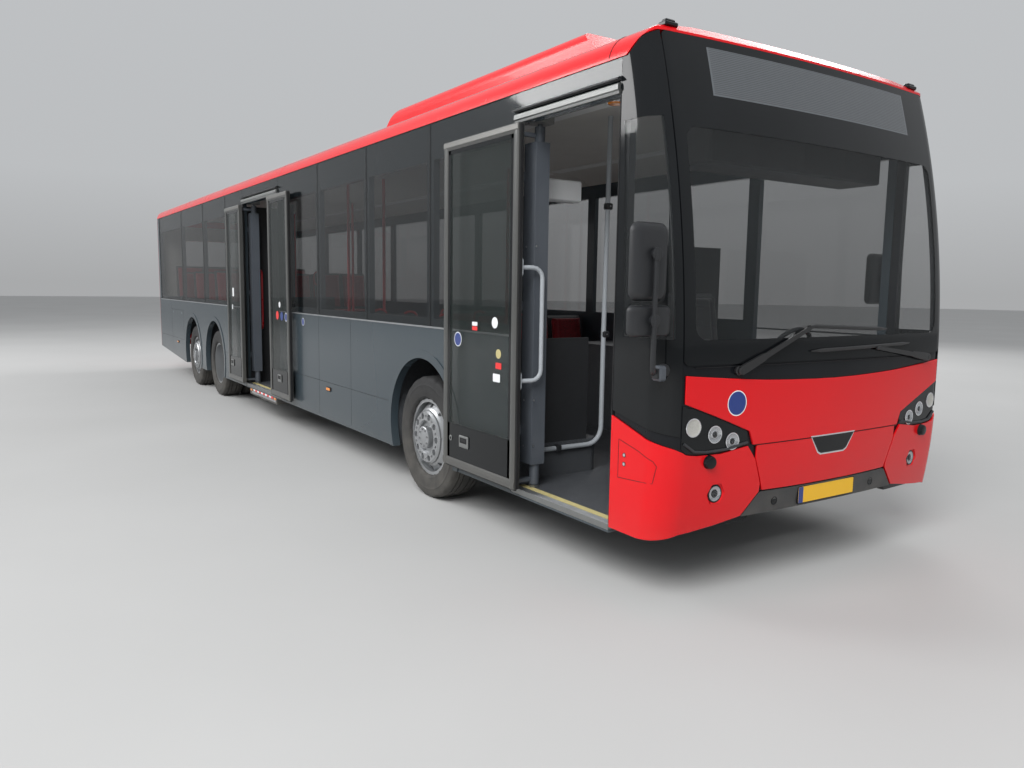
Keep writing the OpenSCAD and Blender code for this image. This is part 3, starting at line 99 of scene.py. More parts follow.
def add_mix(nodes, links, factor, first, second):
    """Mixes a colour or a socket with a second colour."""
    mix = nodes.new("ShaderNodeMix")
    mix.data_type = "RGBA"
    mix.inputs["B"].default_value = (*second, 1)
    links.new(factor, mix.inputs["Factor"])
    if isinstance(first, bpy.types.NodeSocket):
        links.new(first, mix.inputs["A"])
    else:
        mix.inputs["A"].default_value = (*first, 1)
    return mix.outputs["Result"]


# Road dust: its colour, the height where it is thickest, and the size of its clouds
DUST_COLOUR, DUST_FOOT, DUST_CLOUD = (0.20, 0.185, 0.16), 0.2, 9.0


def finish(
    name, base, rough=0.4, metal=0.0, coat=0.0, alpha=1.0, spec=0.5,
    mottle=0.12, mottle_scale=3.0, rough_var=0.08, bump=0.0, bump_scale=200.0, dust=0.0,
    dust_top=0.9, sheen=0.0, fleck=None,
):
    """A surface with uneven colour, uneven gloss, fine relief and road dust towards the ground."""
    mat, nodes, links, bsdf = new_material(name)
    bsdf.inputs["Metallic"].default_value = metal
    bsdf.inputs["Coat Weight"].default_value = coat
    bsdf.inputs["Coat Roughness"].default_value = 0.04
    bsdf.inputs["Specular IOR Level"].default_value = spec
    bsdf.inputs["Alpha"].default_value = alpha
    bsdf.inputs["Sheen Weight"].default_value = sheen
    coords = nodes.new("ShaderNodeTexCoord")
    dark = [c * (1 - mottle) for c in base]
    light = [min(1.0, c * (1 + mottle) + 0.01 * mottle) for c in base]
    colour = add_mix(nodes, links, add_noise(nodes, links, mottle_scale, 6, coords), dark, light)
    if fleck:
        fleck_colour, fleck_scale = fleck
        ramp = nodes.new("ShaderNodeValToRGB")
        ramp.color_ramp.elements[0].position = 0.56
        ramp.color_ramp.elements[1].position = 0.62
        links.new(add_noise(nodes, links, fleck_scale, 2, coords), ramp.inputs["Fac"])
        colour = add_mix(nodes, links, ramp.outputs["Color"], colour, fleck_colour)
    gloss = nodes.new("ShaderNodeMapRange")
    gloss.inputs["To Min"].default_value = max(0.0, rough - rough_var)
    gloss.inputs["To Max"].default_value = min(1.0, rough + rough_var)
    links.new(add_noise(nodes, links, mottle_scale * 4.3, 4, coords), gloss.inputs["Value"])
    links.new(gloss.outputs["Result"], bsdf.inputs["Roughness"])
    if dust:
        split = nodes.new("ShaderNodeSeparateXYZ")
        links.new(coords.outputs["Object"], split.inputs["Vector"])
        fall = nodes.new("ShaderNodeMapRange")
        fall.interpolation_type = "SMOOTHSTEP"
        fall.inputs["From Min"].default_value = dust_top
        fall.inputs["From Max"].default_value = DUST_FOOT
        fall.inputs["To Min"].default_value = 0.0
        fall.inputs["To Max"].default_value = dust
        links.new(split.outputs["Z"], fall.inputs["Value"])
        amount = nodes.new("ShaderNodeMath")
        amount.operation = "MULTIPLY"
        links.new(fall.outputs["Result"], amount.inputs[0])
        links.new(add_noise(nodes, links, DUST_CLOUD, 8, coords), amount.inputs[1])
        colour = add_mix(nodes, links, amount.outputs["Value"], colour, DUST_COLOUR)
    links.new(colour, bsdf.inputs["Base Color"])
    if bump:
        relief = nodes.new("ShaderNodeBump")
        relief.inputs["Strength"].default_value = bump
        relief.inputs["Distance"].default_value = 0.002
        links.new(add_noise(nodes, links, bump_scale, 3, coords), relief.inputs["Height"])
        links.new(relief.outputs["Normal"], bsdf.inputs["Normal"])
    if alpha < 1:
        mat.surface_render_method = "BLENDED"
    return mat


LOOKS = {
    "body_red": dict(base=(0.66, 0.004, 0.008), rough=0.24, coat=0.2, spec=0.28, mottle=0.05,
                     mottle_scale=1.2, dust=0.12, dust_top=0.6),
    "body_grey": dict(base=(0.038, 0.052, 0.062), rough=0.26, coat=0.2, spec=0.35, mottle=0.05,
                      mottle_scale=0.6, rough_var=0.03, dust=0.14, dust_top=0.6),
    "mask_black": dict(base=(0.006, 0.007, 0.009), rough=0.16, spec=0.22, mottle=0.3),
    "gloss_black": dict(base=(0.005, 0.006, 0.007), rough=0.07, spec=0.3, mottle=0.2),
    "bumper_black": dict(base=(0.028, 0.03, 0.033), rough=0.55, mottle=0.2, bump=0.25, bump_scale=500,
                         dust=0.5),
    "windscreen_glass": dict(base=(0.05, 0.056, 0.058), rough=0.03, alpha=0.11, coat=1.0, mottle=0.05,
                             rough_var=0.01, spec=0.6),
    "corner_glass": dict(base=(0.02, 0.023, 0.024), rough=0.03, alpha=0.26, coat=0.6, mottle=0.05,
                         rough_var=0.01, spec=0.6),
    "tinted_glass": dict(base=(0.006, 0.008, 0.009), rough=0.05, alpha=0.40, mottle=0.1, rough_var=0.015,
                         spec=1.0),
    "door_glass": dict(base=(0.010, 0.018, 0.016), rough=0.05, alpha=0.36, mottle=0.1, rough_var=0.015,
                       spec=1.0),
    "lamp_clear": dict(base=(0.35, 0.36, 0.38), rough=0.03, alpha=0.08, coat=1.0, mottle=0.03,
                       rough_var=0.01),
    "lamp_red": dict(base=(0.42, 0.006, 0.006), rough=0.15, coat=1.0, mottle=0.1, mottle_scale=40),
    "lamp_amber": dict(base=(0.85, 0.26, 0.015), rough=0.18, coat=0.8, mottle=0.12, mottle_scale=60),
    "lamp_frost": dict(base=(0.50, 0.49, 0.45), rough=0.3, metal=0.2, mottle=0.15, mottle_scale=120,
                       bump=0.4, bump_scale=300),
    "reflector": dict(base=(0.55, 0.56, 0.58), rough=0.12, metal=1.0, mottle=0.04, rough_var=0.02),
    "chrome": dict(base=(0.8, 0.8, 0.82), rough=0.1, metal=1.0, mottle=0.05, rough_var=0.03),
    "engine_grey": dict(base=(0.16, 0.16, 0.17), rough=0.6, mottle=0.25, bump=0.4, dust=0.6),
    "chassis_black": dict(base=(0.022, 0.022, 0.024), rough=0.55, mottle=0.3, bump=0.2, dust=0.6,
                          dust_top=0.7),
    "axle_black": dict(base=(0.03, 0.03, 0.032), rough=0.5, mottle=0.3, bump=0.3, dust=0.7),
    "floor_grey": dict(base=(0.045, 0.048, 0.054), rough=0.6, mottle=0.25, mottle_scale=2, bump=0.3,
                       bump_scale=350, fleck=((0.16, 0.17, 0.18), 260)),
    "seat_red": dict(base=(0.30, 0.012, 0.020), rough=0.85, mottle=0.22, mottle_scale=60, bump=0.5,
                     bump_scale=600, sheen=0.4, fleck=((0.12, 0.01, 0.014), 90)),
    "seat_dark": dict(base=(0.03, 0.03, 0.034), rough=0.85, mottle=0.22, mottle_scale=80, bump=0.5,
                      bump_scale=600, sheen=0.3),
    "seat_shell": dict(base=(0.06, 0.062, 0.066), rough=0.5, mottle=0.1, bump=0.2, bump_scale=400),
    "cab_black": dict(base=(0.02, 0.021, 0.023), rough=0.6, mottle=0.15, bump=0.3, bump_scale=450),
    "rail_red": dict(base=(0.52, 0.008, 0.014), rough=0.3, coat=0.6, mottle=0.06),
    "rail_grey": dict(base=(0.36, 0.385, 0.41), rough=0.34, coat=0.3, mottle=0.07, mottle_scale=8),
    "mirror_black": dict(base=(0.016, 0.017, 0.019), rough=0.42, mottle=0.15, bump=0.3, bump_scale=420),
    "mirror_face": dict(base=(0.75, 0.77, 0.8), rough=0.04, metal=1.0, mottle=0.02, rough_var=0.01),
    "wiper_black": dict(base=(0.014, 0.014, 0.015), rough=0.4, mottle=0.2, bump=0.1),
    "rubber": dict(base=(0.012, 0.012, 0.013), rough=0.65, mottle=0.3, bump=0.2),
    "door_frame": dict(base=(0.085, 0.086, 0.083), rough=0.36, metal=0.35, coat=0.3, mottle=0.1,
                       mottle_scale=6, dust=0.35),
    "door_aluminium": dict(base=(0.27, 0.275, 0.27), rough=0.42, metal=0.8, mottle=0.1, mottle_scale=15),
    "ramp_aluminium": dict(base=(0.5, 0.51, 0.52), rough=0.42, metal=0.9, mottle=0.15, mottle_scale=12,
                           bump=0.2, bump_scale=120),
    "rim_silver": dict(base=(0.42, 0.43, 0.44), rough=0.36, metal=0.8, mottle=0.06, mottle_scale=6,
                       rough_var=0.03),
    "nut_steel": dict(base=(0.36, 0.36, 0.37), rough=0.34, metal=1.0, mottle=0.1, mottle_scale=12,
                      rough_var=0.03),
    "tyre_rubber": dict(base=(0.021, 0.021, 0.022), rough=0.78, mottle=0.3, mottle_scale=14, bump=0.35,
                        bump_scale=260, dust=0.45, dust_top=1.0),
    "post_grey": dict(base=(0.075, 0.085, 0.1), rough=0.42, coat=0.2, mottle=0.1, mottle_scale=5),
    "lining": dict(base=(0.58, 0.565, 0.53), rough=0.6, mottle=0.08, bump=0.15, bump_scale=300),
    "plate_yellow": dict(base=(0.83, 0.47, 0.015), rough=0.4, mottle=0.05, bump=0.1),
    "sign_blue": dict(base=(0.006, 0.030, 0.19), rough=0.3, coat=0.4, mottle=0.05),
    "sign_white": dict(base=(0.75, 0.76, 0.77), rough=0.4, mottle=0.04),
    "sign_red": dict(base=(0.7, 0.03, 0.03), rough=0.4, mottle=0.04),
    "nosing_yellow": dict(base=(0.50, 0.43, 0.20), rough=0.6, mottle=0.25, mottle_scale=30, bump=0.3),
    "display": dict(base=(0.10, 0.11, 0.12), rough=0.35, coat=0.3, mottle=0.08, mottle_scale=30),
    "trim_grey": dict(base=(0.33, 0.34, 0.35), rough=0.34, metal=0.6, mottle=0.08, mottle_scale=6),
    "leaf_cap": dict(base=(0.20, 0.197, 0.187), rough=0.38, metal=0.5, mottle=0.1, mottle_scale=9),
    "roof_white": dict(base=(0.70, 0.71, 0.70), rough=0.45, mottle=0.06, bump=0.1, bump_scale=300),
    "display_row": dict(base=(0.035, 0.038, 0.042), rough=0.35, coat=0.3, mottle=0.08, mottle_scale=30),
    # Black of dark joints; also painted shade in the fan openings and behind the hatch's slots
    "joint_and_shade_black": dict(base=(0.006, 0.006, 0.007), rough=0.8, mottle=0.2, rough_var=0.05),
}
MAT = {name: finish(name, **look) for name, look in LOOKS.items()}

# Looks of the slots and nodes that aren't called like their look
SLOT_LOOK = {
    "clear_glass": "windscreen_glass", "seat_cloth": "seat_red", "seat_black": "seat_dark",
    "door_aluminium_dark": "door_frame",
}
NODE_LOOK = {
    "corner_glass": "corner_glass", "pane_front": "door_glass", "pane_mid_rear": "door_glass",
    "pane_mid_front": "door_glass", "engine_hatch": "body_red",
}


def dress_nodes():
    """Every CAD node gets the look of its slot."""
    slots = {s["node"]: s["material_slot"] for s in frame["record"]["subparts"]}
    for name, obj in frame["nodes"].items():
        look = MAT[NODE_LOOK.get(name, SLOT_LOOK.get(slots[name], slots[name]))]
        if not obj.material_slots:
            obj.data.materials.append(look)
        for s in obj.material_slots:
            s.material = look


dress_nodes()


# Mesh building
SHARP = 35  # Edges between faces over this angle stay sharp
ROUNDED = 40  # Edges over this angle are rounded by a bevel


def span(a, b, n):
    return [a + (b - a) * i / n for i in range(n + 1)]


def circle(n, r=1.0, start=0.0):
    """Points (r cos, r sin) all round; start is counted in steps."""
    turns = [2 * math.pi * (k + start) / n for k in range(n)]
    return [(r * math.cos(t), r * math.sin(t)) for t in turns]


def divided(points, parts, closed=False):
    """A line's points with each stretch cut into parts."""
    ends = points[1:] + points[:1] if closed else points[1:]
    out = []
    for a, b in zip(points, ends):
        for k in range(parts):
            out.append(tuple(p + (q - p) * k / parts for p, q in zip(a, b)))
    return out if closed else out + [tuple(points[-1])]


def add_object(name, data):
    obj = bpy.data.objects.new(name, data)
    bpy.context.scene.collection.objects.link(obj)
    return obj


def round_edges(obj, width):
    m = obj.modifiers.new("edge", "BEVEL")
    m.width = width
    m.segments = 2
    m.limit_method = "ANGLE"
    m.angle_limit = math.radians(ROUNDED)


class Piece:
    """Collects faces with their materials and becomes one object that rides on a body."""

    def __init__(self, name, body="root"):
        self.name, self.body = name, body
        self.verts, self.faces, self.looks = [], [], []
        self.names = []

    def look(self, name):
        if name not in self.names:
            self.names.append(name)
        return self.names.index(name)

    def add(self, verts, faces, look):
        base = len(self.verts)
        self.verts += [Vector(v) for v in verts]
        index = self.look(look)
        for f in faces:
            self.faces.append([base + i for i in f])
            self.looks.append(index)
        return self

    def mirror_y(self):
        base = len(self.verts)
        count = len(self.faces)
        self.verts += [Vector((v.x, -v.y, v.z)) for v in self.verts[:base]]
        for k in range(count):
            self.faces.append([base + i for i in reversed(self.faces[k])])
            self.looks.append(self.looks[k])
        return self

    def grid(self, points, look, wrap_v=False, flip=False):
        """Faces between rows of points; wrap_v closes each row."""
        n, m = len(points), len(points[0])
        faces = []
        for i in range(n - 1):
            for j in range(m if wrap_v else m - 1):
                k = (j + 1) % m
                a, b, c, d = i * m + j, (i + 1) * m + j, (i + 1) * m + k, i * m + k
                faces.append([a, d, c, b] if flip else [a, b, c, d])
        return self.add([p for row in points for p in row], faces, look)

    def closed(self, rings, look):
        """A skin over rings of points, with a face on the first and on the last."""
        self.grid(rings, look, wrap_v=True)
        self.add(rings[0], [list(range(len(rings[0])))[::-1]], look)
        return self.add(rings[-1], [list(range(len(rings[-1])))], look)

    def box(self, lo, hi, look, r=0.0):
        """A box whose edges are chamfered by r."""
        lo, hi = Vector(lo), Vector(hi)
        if r <= 0:
            v = [(x, y, z) for x in (lo.x, hi.x) for y in (lo.y, hi.y) for z in (lo.z, hi.z)]
            f = [(0, 1, 3, 2), (4, 6, 7, 5), (0, 4, 5, 1), (2, 3, 7, 6), (0, 2, 6, 4), (1, 5, 7, 3)]
            return self.add(v, f, look)
        r = min(r, min(hi - lo) * 0.49)
        verts, key = [], {}
        for corner in product((0, 1), repeat=3):
            for axis in range(3):
                point = [(lo, hi)[side][i] for i, side in enumerate(corner)]
                for other in {0, 1, 2} - {axis}:
                    point[other] += -r if corner[other] else r
                key[corner, axis] = len(verts)
                verts.append(point)

        def corner_at(axis, side, a, b):
            ends = [a, b]
            ends.insert(axis, side)
            return tuple(ends)

        faces = [[key[corner, axis] for axis in range(3)] for corner in product((0, 1), repeat=3)]
        for axis in range(3):
            for side in (0, 1):
                ring = [key[corner_at(axis, side, a, b), axis] for a, b in ((0, 0), (1, 0), (1, 1), (0, 1))]
                faces.append(ring if (side == 1) == (axis != 1) else ring[::-1])
            u, v = [i for i in range(3) if i != axis]
            for a, b in product((0, 1), repeat=2):
                near, far = corner_at(axis, 0, a, b), corner_at(axis, 1, a, b)
                faces.append([key[near, u], key[far, u], key[far, v], key[near, v]])
        return self.add(verts, faces, look)

    def lathe(self, profile, origin, axis, look, n=48, caps=True):
        """Turns a profile of (distance along the axis, radius) about an axis."""
        origin, axis = Vector(origin), Vector(axis).normalized()
        side = axis.orthogonal().normalized()
        other = axis.cross(side)
        turn = [side * c + other * s for c, s in circle(n)]
        rings = [[origin + axis * d + t * max(r, 1e-5) for t in turn] for d, r in profile]
        for pair in zip(rings, rings[1:]):
            self.grid(pair, look, wrap_v=True)
        if caps and profile[0][1] > 1e-4:
            self.add(rings[0], [list(range(n))[::-1]], look)
        if caps and profile[-1][1] > 1e-4:
            self.add(rings[-1], [list(range(n))], look)
        return self

    def cyl(self, a, b, r, look, n=32, bevel=0.0):
        a, b = Vector(a), Vector(b)
        length = (b - a).length
        c = min(bevel, r * 0.5, length * 0.45)
        profile = [(0, r - c), (c, r), (length - c, r), (length, r - c)] if c > 0 else [(0, r), (length, r)]
        return self.lathe(profile, a, b - a, look, n)

    def tube(self, points, r, look, n=14, bend=None):
        """A round bar through points, its corners rounded by bend."""
        pts = [Vector(p) for p in points]
        if bend:
            steps = 8
            rounded = [pts[0]]
            for a, b, c in zip(pts, pts[1:], pts[2:]):
                u, v = a - b, c - b
                reach = min(bend, u.length * 0.49, v.length * 0.49)
                p, q = b + u.normalized() * reach, b + v.normalized() * reach
                for t in span(0, 1, steps):
                    rounded.append(p * (1 - t) ** 2 + b * (2 * t * (1 - t)) + q * t * t)
            pts = rounded + [pts[-1]]
        clean = [pts[0]]
        for p in pts[1:]:
            if (p - clean[-1]).length > 1e-5:
                clean.append(p)
        rings = []
        normal = (clean[1] - clean[0]).orthogonal().normalized()
        for i, p in enumerate(clean):
            along = (clean[min(i + 1, len(clean) - 1)] - clean[max(i - 1, 0)]).normalized()
            normal = (normal - along * normal.dot(along)).normalized()
            other = along.cross(normal)
            rings.append([p + (normal * c + other * s) * r for c, s in circle(n)])
        return self.closed(rings, look)

    def prism(self, outline, place, depth, look, chamfer=0.0):
        """An outline of (a, b) pairs, put in space by place(a, b, d), with depths 0 to depth."""
        n = len(outline)
        if chamfer:
            cx = sum(p[0] for p in outline) / n
            cy = sum(p[1] for p in outline) / n
            small = []
            for a, b in outline:
                d = math.hypot(a - cx, b - cy) or 1
                small.append((a - (a - cx) / d * chamfer, b - (b - cy) / d * chamfer))
            layers = [(small, 0.0), (outline, chamfer), (outline, depth)]
        else:
            layers = [(outline, 0.0), (outline, depth)]
        return self.closed([[place(a, b, d) for a, b in pts] for pts, d in layers], look)

    def side_box(self, s, x0, x1, y0, y1, z0, z1, look, r=0.0):
        """A box on the left-hand (s = 1) or the right-hand side (s = -1), y counted outwards."""
        lo, hi = sorted((s * y0, s * y1))
        return self.box((x0, lo, z0), (x1, hi, z1), look, r)

    def mesh(self):
        """The faces as one mesh, its points joined and its faces turned outwards."""
        mesh = bpy.data.meshes.new(self.name)
        mesh.from_pydata([tuple(v) for v in self.verts], [], self.faces)
        mesh.polygons.foreach_set("material_index", self.looks)
        for n in self.names:
            mesh.materials.append(MAT[n])
        mesh.validate()
        mesh.update()
        bm = bmesh.new()
        bm.from_mesh(mesh)
        bmesh.ops.remove_doubles(bm, verts=bm.verts, dist=1e-6)
        bmesh.ops.recalc_face_normals(bm, faces=bm.faces)
        bm.to_mesh(mesh)
        bm.free()
        return mesh

    def build(self, bevel=0.0, angle=SHARP, slot=None, replaces=()):
        """One object that rides on the body, its edges rounded by bevel."""
        mesh = self.mesh()
        mesh.shade_smooth()
        mesh.set_sharp_from_angle(angle=math.radians(angle))
        obj = add_object(self.name, mesh)
        if bevel:
            round_edges(obj, bevel)
        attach(obj, self.body)
        if replaces:
            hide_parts(*replaces)
        return obj


def lookup(x, table):
    """Value at x between the rows (x, value) of a table."""
    if x <= table[0][0]:
        return table[0][1]
    for a, b in zip(table, table[1:]):
        if x <= b[0]:
            t = (x - a[0]) / (b[0] - a[0]) if b[0] > a[0] else 0
            return a[1] + t * (b[1] - a[1])
    return table[-1][1]


def rounded_rect(a0, b0, a1, b1, r, n=6):
    """Outline of a rectangle with rounded corners, counter-clockwise."""
    r = min(r, abs(a1 - a0) / 2, abs(b1 - b0) / 2)
    out = []
    for cx, cy, start in ((a1 - r, b1 - r, 0), (a0 + r, b1 - r, 90), (a0 + r, b0 + r, 180),
                          (a1 - r, b0 + r, 270)):
        for k in range(n + 1):
            t = math.radians(start + 90 * k / n)
            out.append((cx + r * math.cos(t), cy + r * math.sin(t)))
    return out


# The front's surface: half width, and radii of bow, corner, screen and chin
HALF_W, BOW_R, CORNER_R, SCREEN_R, CHIN_R = 1.275, 12.0, 0.16, 6.4, 3.25
# Its foremost place, the heights between screen and chin where it is upright, and the doorway post's place
NOSE_X, SCREEN_FOOT, HOOD_LOW, POST_X = 6.85, 1.15, 0.9, 6.376
# Angle where the bow ends, and how far it lies behind the nose there
BOW_END = math.asin((HALF_W - CORNER_R) / (BOW_R - CORNER_R))
CORNER_BACK = BOW_R - math.sqrt((BOW_R - CORNER_R) ** 2 - (HALF_W - CORNER_R) ** 2)


def nose(z):
    """The front's place on the centre plane at a height."""
    if z > SCREEN_FOOT:
        return NOSE_X - SCREEN_R + math.sqrt(SCREEN_R ** 2 - (z - SCREEN_FOOT) ** 2)
    if z < HOOD_LOW:
        return NOSE_X - CHIN_R + math.sqrt(CHIN_R ** 2 - (HOOD_LOW - z) ** 2)
    return NOSE_X


def front_point(u, z, t=0.0):
    """Station 0 is the centre plane, 1 the end of the bow, 2 the end of the corner, 3 the doorway post."""
    s, v = (1 if u >= 0 else -1), abs(u)
    corner_x = nose(z) - CORNER_BACK
    if v <= 1:
        a = v * BOW_END
        return Vector((nose(z) - BOW_R + (BOW_R - t) * math.cos(a), s * (BOW_R - t) * math.sin(a), z))
    if v <= 2:
        a = BOW_END + (v - 1) * (math.pi / 2 - BOW_END)
        return Vector((corner_x + (CORNER_R - t) * math.cos(a),
                       s * (HALF_W - CORNER_R + (CORNER_R - t) * math.sin(a)), z))
    return Vector((corner_x - (v - 2) * (corner_x - POST_X), s * (HALF_W - t), z))


def at_y(y):
    """Station of a point that lies y beside the centre plane."""
    v = abs(y)
    s = 1 if y >= 0 else -1
    if v <= BOW_R * math.sin(BOW_END):
        return s * math.asin(v / BOW_R) / BOW_END
    v = min(v, HALF_W)
    return s * (1 + (math.asin((v - HALF_W + CORNER_R) / CORNER_R) - BOW_END) / (math.pi / 2 - BOW_END))


def front(y, z, t=0.0):
    return front_point(at_y(y), z, t)


def outwards(y, z, depth=.02):
    """Direction out of the front's surface."""
    return (front(y, z, 0) - front(y, z, depth)).normalized()


def rim(grid):
    """The points round the edge of a grid."""
    last = [row[-1] for row in grid[-2::-1]]
    return [row[0] for row in grid] + grid[-1][1:] + last + grid[0][-2:0:-1]


def front_panel(piece, rows, t0, t1, look, steps=12):
    """A shell of the front between two depths; rows are (station, lower edge, upper edge)."""
    outer, inner = ([[front_point(u, z, t) for z in span(lo, hi, steps)] for u, lo, hi in rows]
                    for t in (t0, t1))
    piece.grid(outer, look)
    piece.grid(inner, look, flip=True)
    piece.grid([rim(outer), rim(inner)], look, wrap_v=True, flip=True)
    return piece


def mirrored(rows):
    return [(-u, a, b) for u, a, b in reversed(rows)]


def both(rows):
    return mirrored(rows) + [r for r in rows if r[0] > 0]


def one_side(rows, s):
    return rows if s > 0 else mirrored(rows)


def front_patch(piece, outline, t, thick, look, rings=5):
    """A flush patch of the front: an outline of (y, z) with an even depth and thickness."""
    n = len(outline)
    cy = sum(p[0] for p in outline) / n
    cz = sum(p[1] for p in outline) / n
    grid = []
    for f in [max(f, 0.001) for f in span(1, 0, rings)]:
        grid.append([front(cy + (y - cy) * f, cz + (z - cz) * f, t) for y, z in outline])
    back = [front(y, z, t + thick) for y, z in outline]
    piece.grid([back] + grid, look, wrap_v=True)
    piece.add(back, [list(range(n))], look)
    return piece


# Front panels
# Thickness of the panels, depth and thickness of the glass, gap behind the panels, thickness of the shell
PANEL_T, GLASS_IN, GLASS_T, SHELL_GAP, SHELL_T = 0.012, 0.005, 0.007, 0.0016, 0.042
SHELL_IN, SHELL_BACK = PANEL_T + SHELL_GAP, PANEL_T + SHELL_GAP + SHELL_T
# Height of the joint between hood and apron, and its width
HOOD_SPLIT, SPLIT_GAP = .827, .003
# Hood and corner panels: (place beside the centre plane or station, lower edge, upper edge)
HOOD = [(0, .560, 1.160), (.190, .560, 1.162), (.380, .562, 1.167), (.566, .566, 1.174),
        (.640, .755, 1.178),
        (.668, .826, 1.180), (.700, .905, 1.182), (.860, .968, 1.194), (1.000, 1.020, 1.205),
        (1.100, 1.056, 1.213),
        (1.150, 1.074, 1.218)]
CORNER = [(at_y(.590), .562, .606), (at_y(.648), .500, .752), (at_y(.708), .436, .826),
          (at_y(.900), .408, .800),
          (at_y(1.061), .390, .802), (1.1, .380, .826), (1.3, .368, .845), (1.6, .356, .863),
          (2, .350, .885),
          (3, .352, .972)]
# Upper edge of the black band over the glass: (station, height)
BAND_TOP = [(0, 2.936), (1.13, 2.936), (1.3, 2.926), (1.45, 2.915), (1.6, 2.899), (1.75, 2.868),
            (1.9, 2.838),
            (2, 2.820), (3, 2.820)]
# Lamps of a headlamp pod from the outside in: (y, z, radius)
LAMPS = [(1.090, .951, .044), (.945, .906, .042), (.821, .861, .042)]


def dense(table, step=0.035):
    """Extra stations between a table's rows."""
    rows = []
    for a, b in zip(table, table[1:]):
        n = max(1, math.ceil((b[0] - a[0]) / step))
        for k in range(n):
            t = k / n
            rows.append(tuple(a[i] + (b[i] - a[i]) * t for i in range(len(a))))
    rows.append(tuple(table[-1]))
    return rows


# Fog lamp recesses: place of their middle and radius of their hexagon
FOG_Y, FOG_Z, FOG_R = 0.909, 0.585, 0.062


def fog_frame(s):
    """Middle of a fog lamp recess, its direction outwards, sideways and up."""
    y, z = FOG_Y, FOG_Z
    base = front(s * y, z, 0)
    out = outwards(s * y, z)
    side = (front(s * y + 0.02, z, 0) - front(s * y - 0.02, z, 0)).normalized()
    return base, out, side, out.cross(side).normalized()


def take_mesh(obj):
    """The mesh with its modifiers applied."""
    graph = bpy.context.evaluated_depsgraph_get()
    mesh = bpy.data.meshes.new_from_object(obj.evaluated_get(graph))
    obj.modifiers.clear()
    obj.data = mesh
    return mesh


def cut(obj, piece):
    """Take the closed form of a piece out of an object."""
    mesh = piece.mesh()
    cutter = add_object(piece.name, mesh)
    m = obj.modifiers.new("cut", "BOOLEAN")
    m.operation = "DIFFERENCE"
    m.solver = "EXACT"
    m.object = cutter
    take_mesh(obj)
    bpy.data.objects.remove(cutter)
    bpy.data.meshes.remove(mesh)
    obj.data.set_sharp_from_angle(angle=math.radians(SHARP))


def make_front_panels():
    """Hood, apron under it, and red corners with a hexagonal recess for each fog lamp."""
    rows = [(at_y(y), lo, hi) for y, lo, hi in dense(HOOD, 0.04)]
    upper = [(u, max(lo, HOOD_SPLIT + SPLIT_GAP / 2), hi) for u, lo, hi in rows]
    hood = front_panel(Piece("hood"), both(upper), 0, PANEL_T, "body_red", 16)
    hood.build(bevel=.003, replaces=["front_panels"], slot="body_red")
    lower = [(u, lo, HOOD_SPLIT - SPLIT_GAP / 2) for u, lo, _ in rows if lo < HOOD_SPLIT - .02]
    apron = front_panel(Piece("front_apron"), both(lower), 0, PANEL_T, "body_red", 10)
    apron.build(bevel=.003, slot="body_red")
    corners = Piece("front_corners")
    for s in (1, -1):
        front_panel(corners, one_side(dense(CORNER, 0.05), s), 0, PANEL_T, "body_red", 14)
    obj = corners.build(slot="body_red")
    for s in (-1, 1):
        base, out, side, up = fog_frame(s)
        hole = Piece("fog_cutter")
        hole.closed([[base + side * a + up * b + out * d for a, b in circle(6, FOG_R)]
                     for d in (.05, -.05)],
                    "body_red")
        cut(obj, hole)
    round_edges(obj, .003)


# Number plate: its lower and upper edge and half its width
PLATE_LOW, PLATE_HIGH, PLATE_HALF = .444, .548, .262


def make_bumper():
    """Dark strip with a sensor each side, and the blank number plate."""
    p = Piece("bumper_strip")
    rows = [(0, .430, .553), (at_y(.35), .430, .555), (at_y(.56), .430, .558), (at_y(.588), .430, .552),
            (at_y(.694), .430, .438)]
    front_panel(p, both(dense(rows, 0.05)), .004, PANEL_T, "bumper_black", 6)
    for y in (-.451, .451):
        p.lathe([(0, .024), (.0034, .024), (.0036, .019), (.0016, .018), (.0020, .0)],
                front(y, .490, .0045), outwards(y, .490, .01), "gloss_black", 32)
    p.build(bevel=.002, slot="bumper_black", replaces=["bumper"])
    plate = Piece("number_plate")
    corners = [front(y, z, 0).x for y in (0, PLATE_HALF) for z in (PLATE_LOW, PLATE_HIGH)]
    face = max(corners) - .0065
    y0, y1, z0, z1 = .006 - PLATE_HALF, PLATE_HALF - .006, PLATE_LOW + .006, PLATE_HIGH - .006
    for outline, back, thick, look in (
        (rounded_rect(-PLATE_HALF, PLATE_LOW, PLATE_HALF, PLATE_HIGH, .008), -.006, .007, "gloss_black"),
        (rounded_rect(y0, z0, y1, z1, .006), 0, .0025, "plate_yellow"),
        (rounded_rect(y0, z0, y0 + .040, z1, .004), .0018, .0012, "sign_blue"),
    ):
        plate.prism(outline, lambda a, b, d, x=face + back: (x + d, a, b), thick, look)
    plate.build(bevel=.0008)


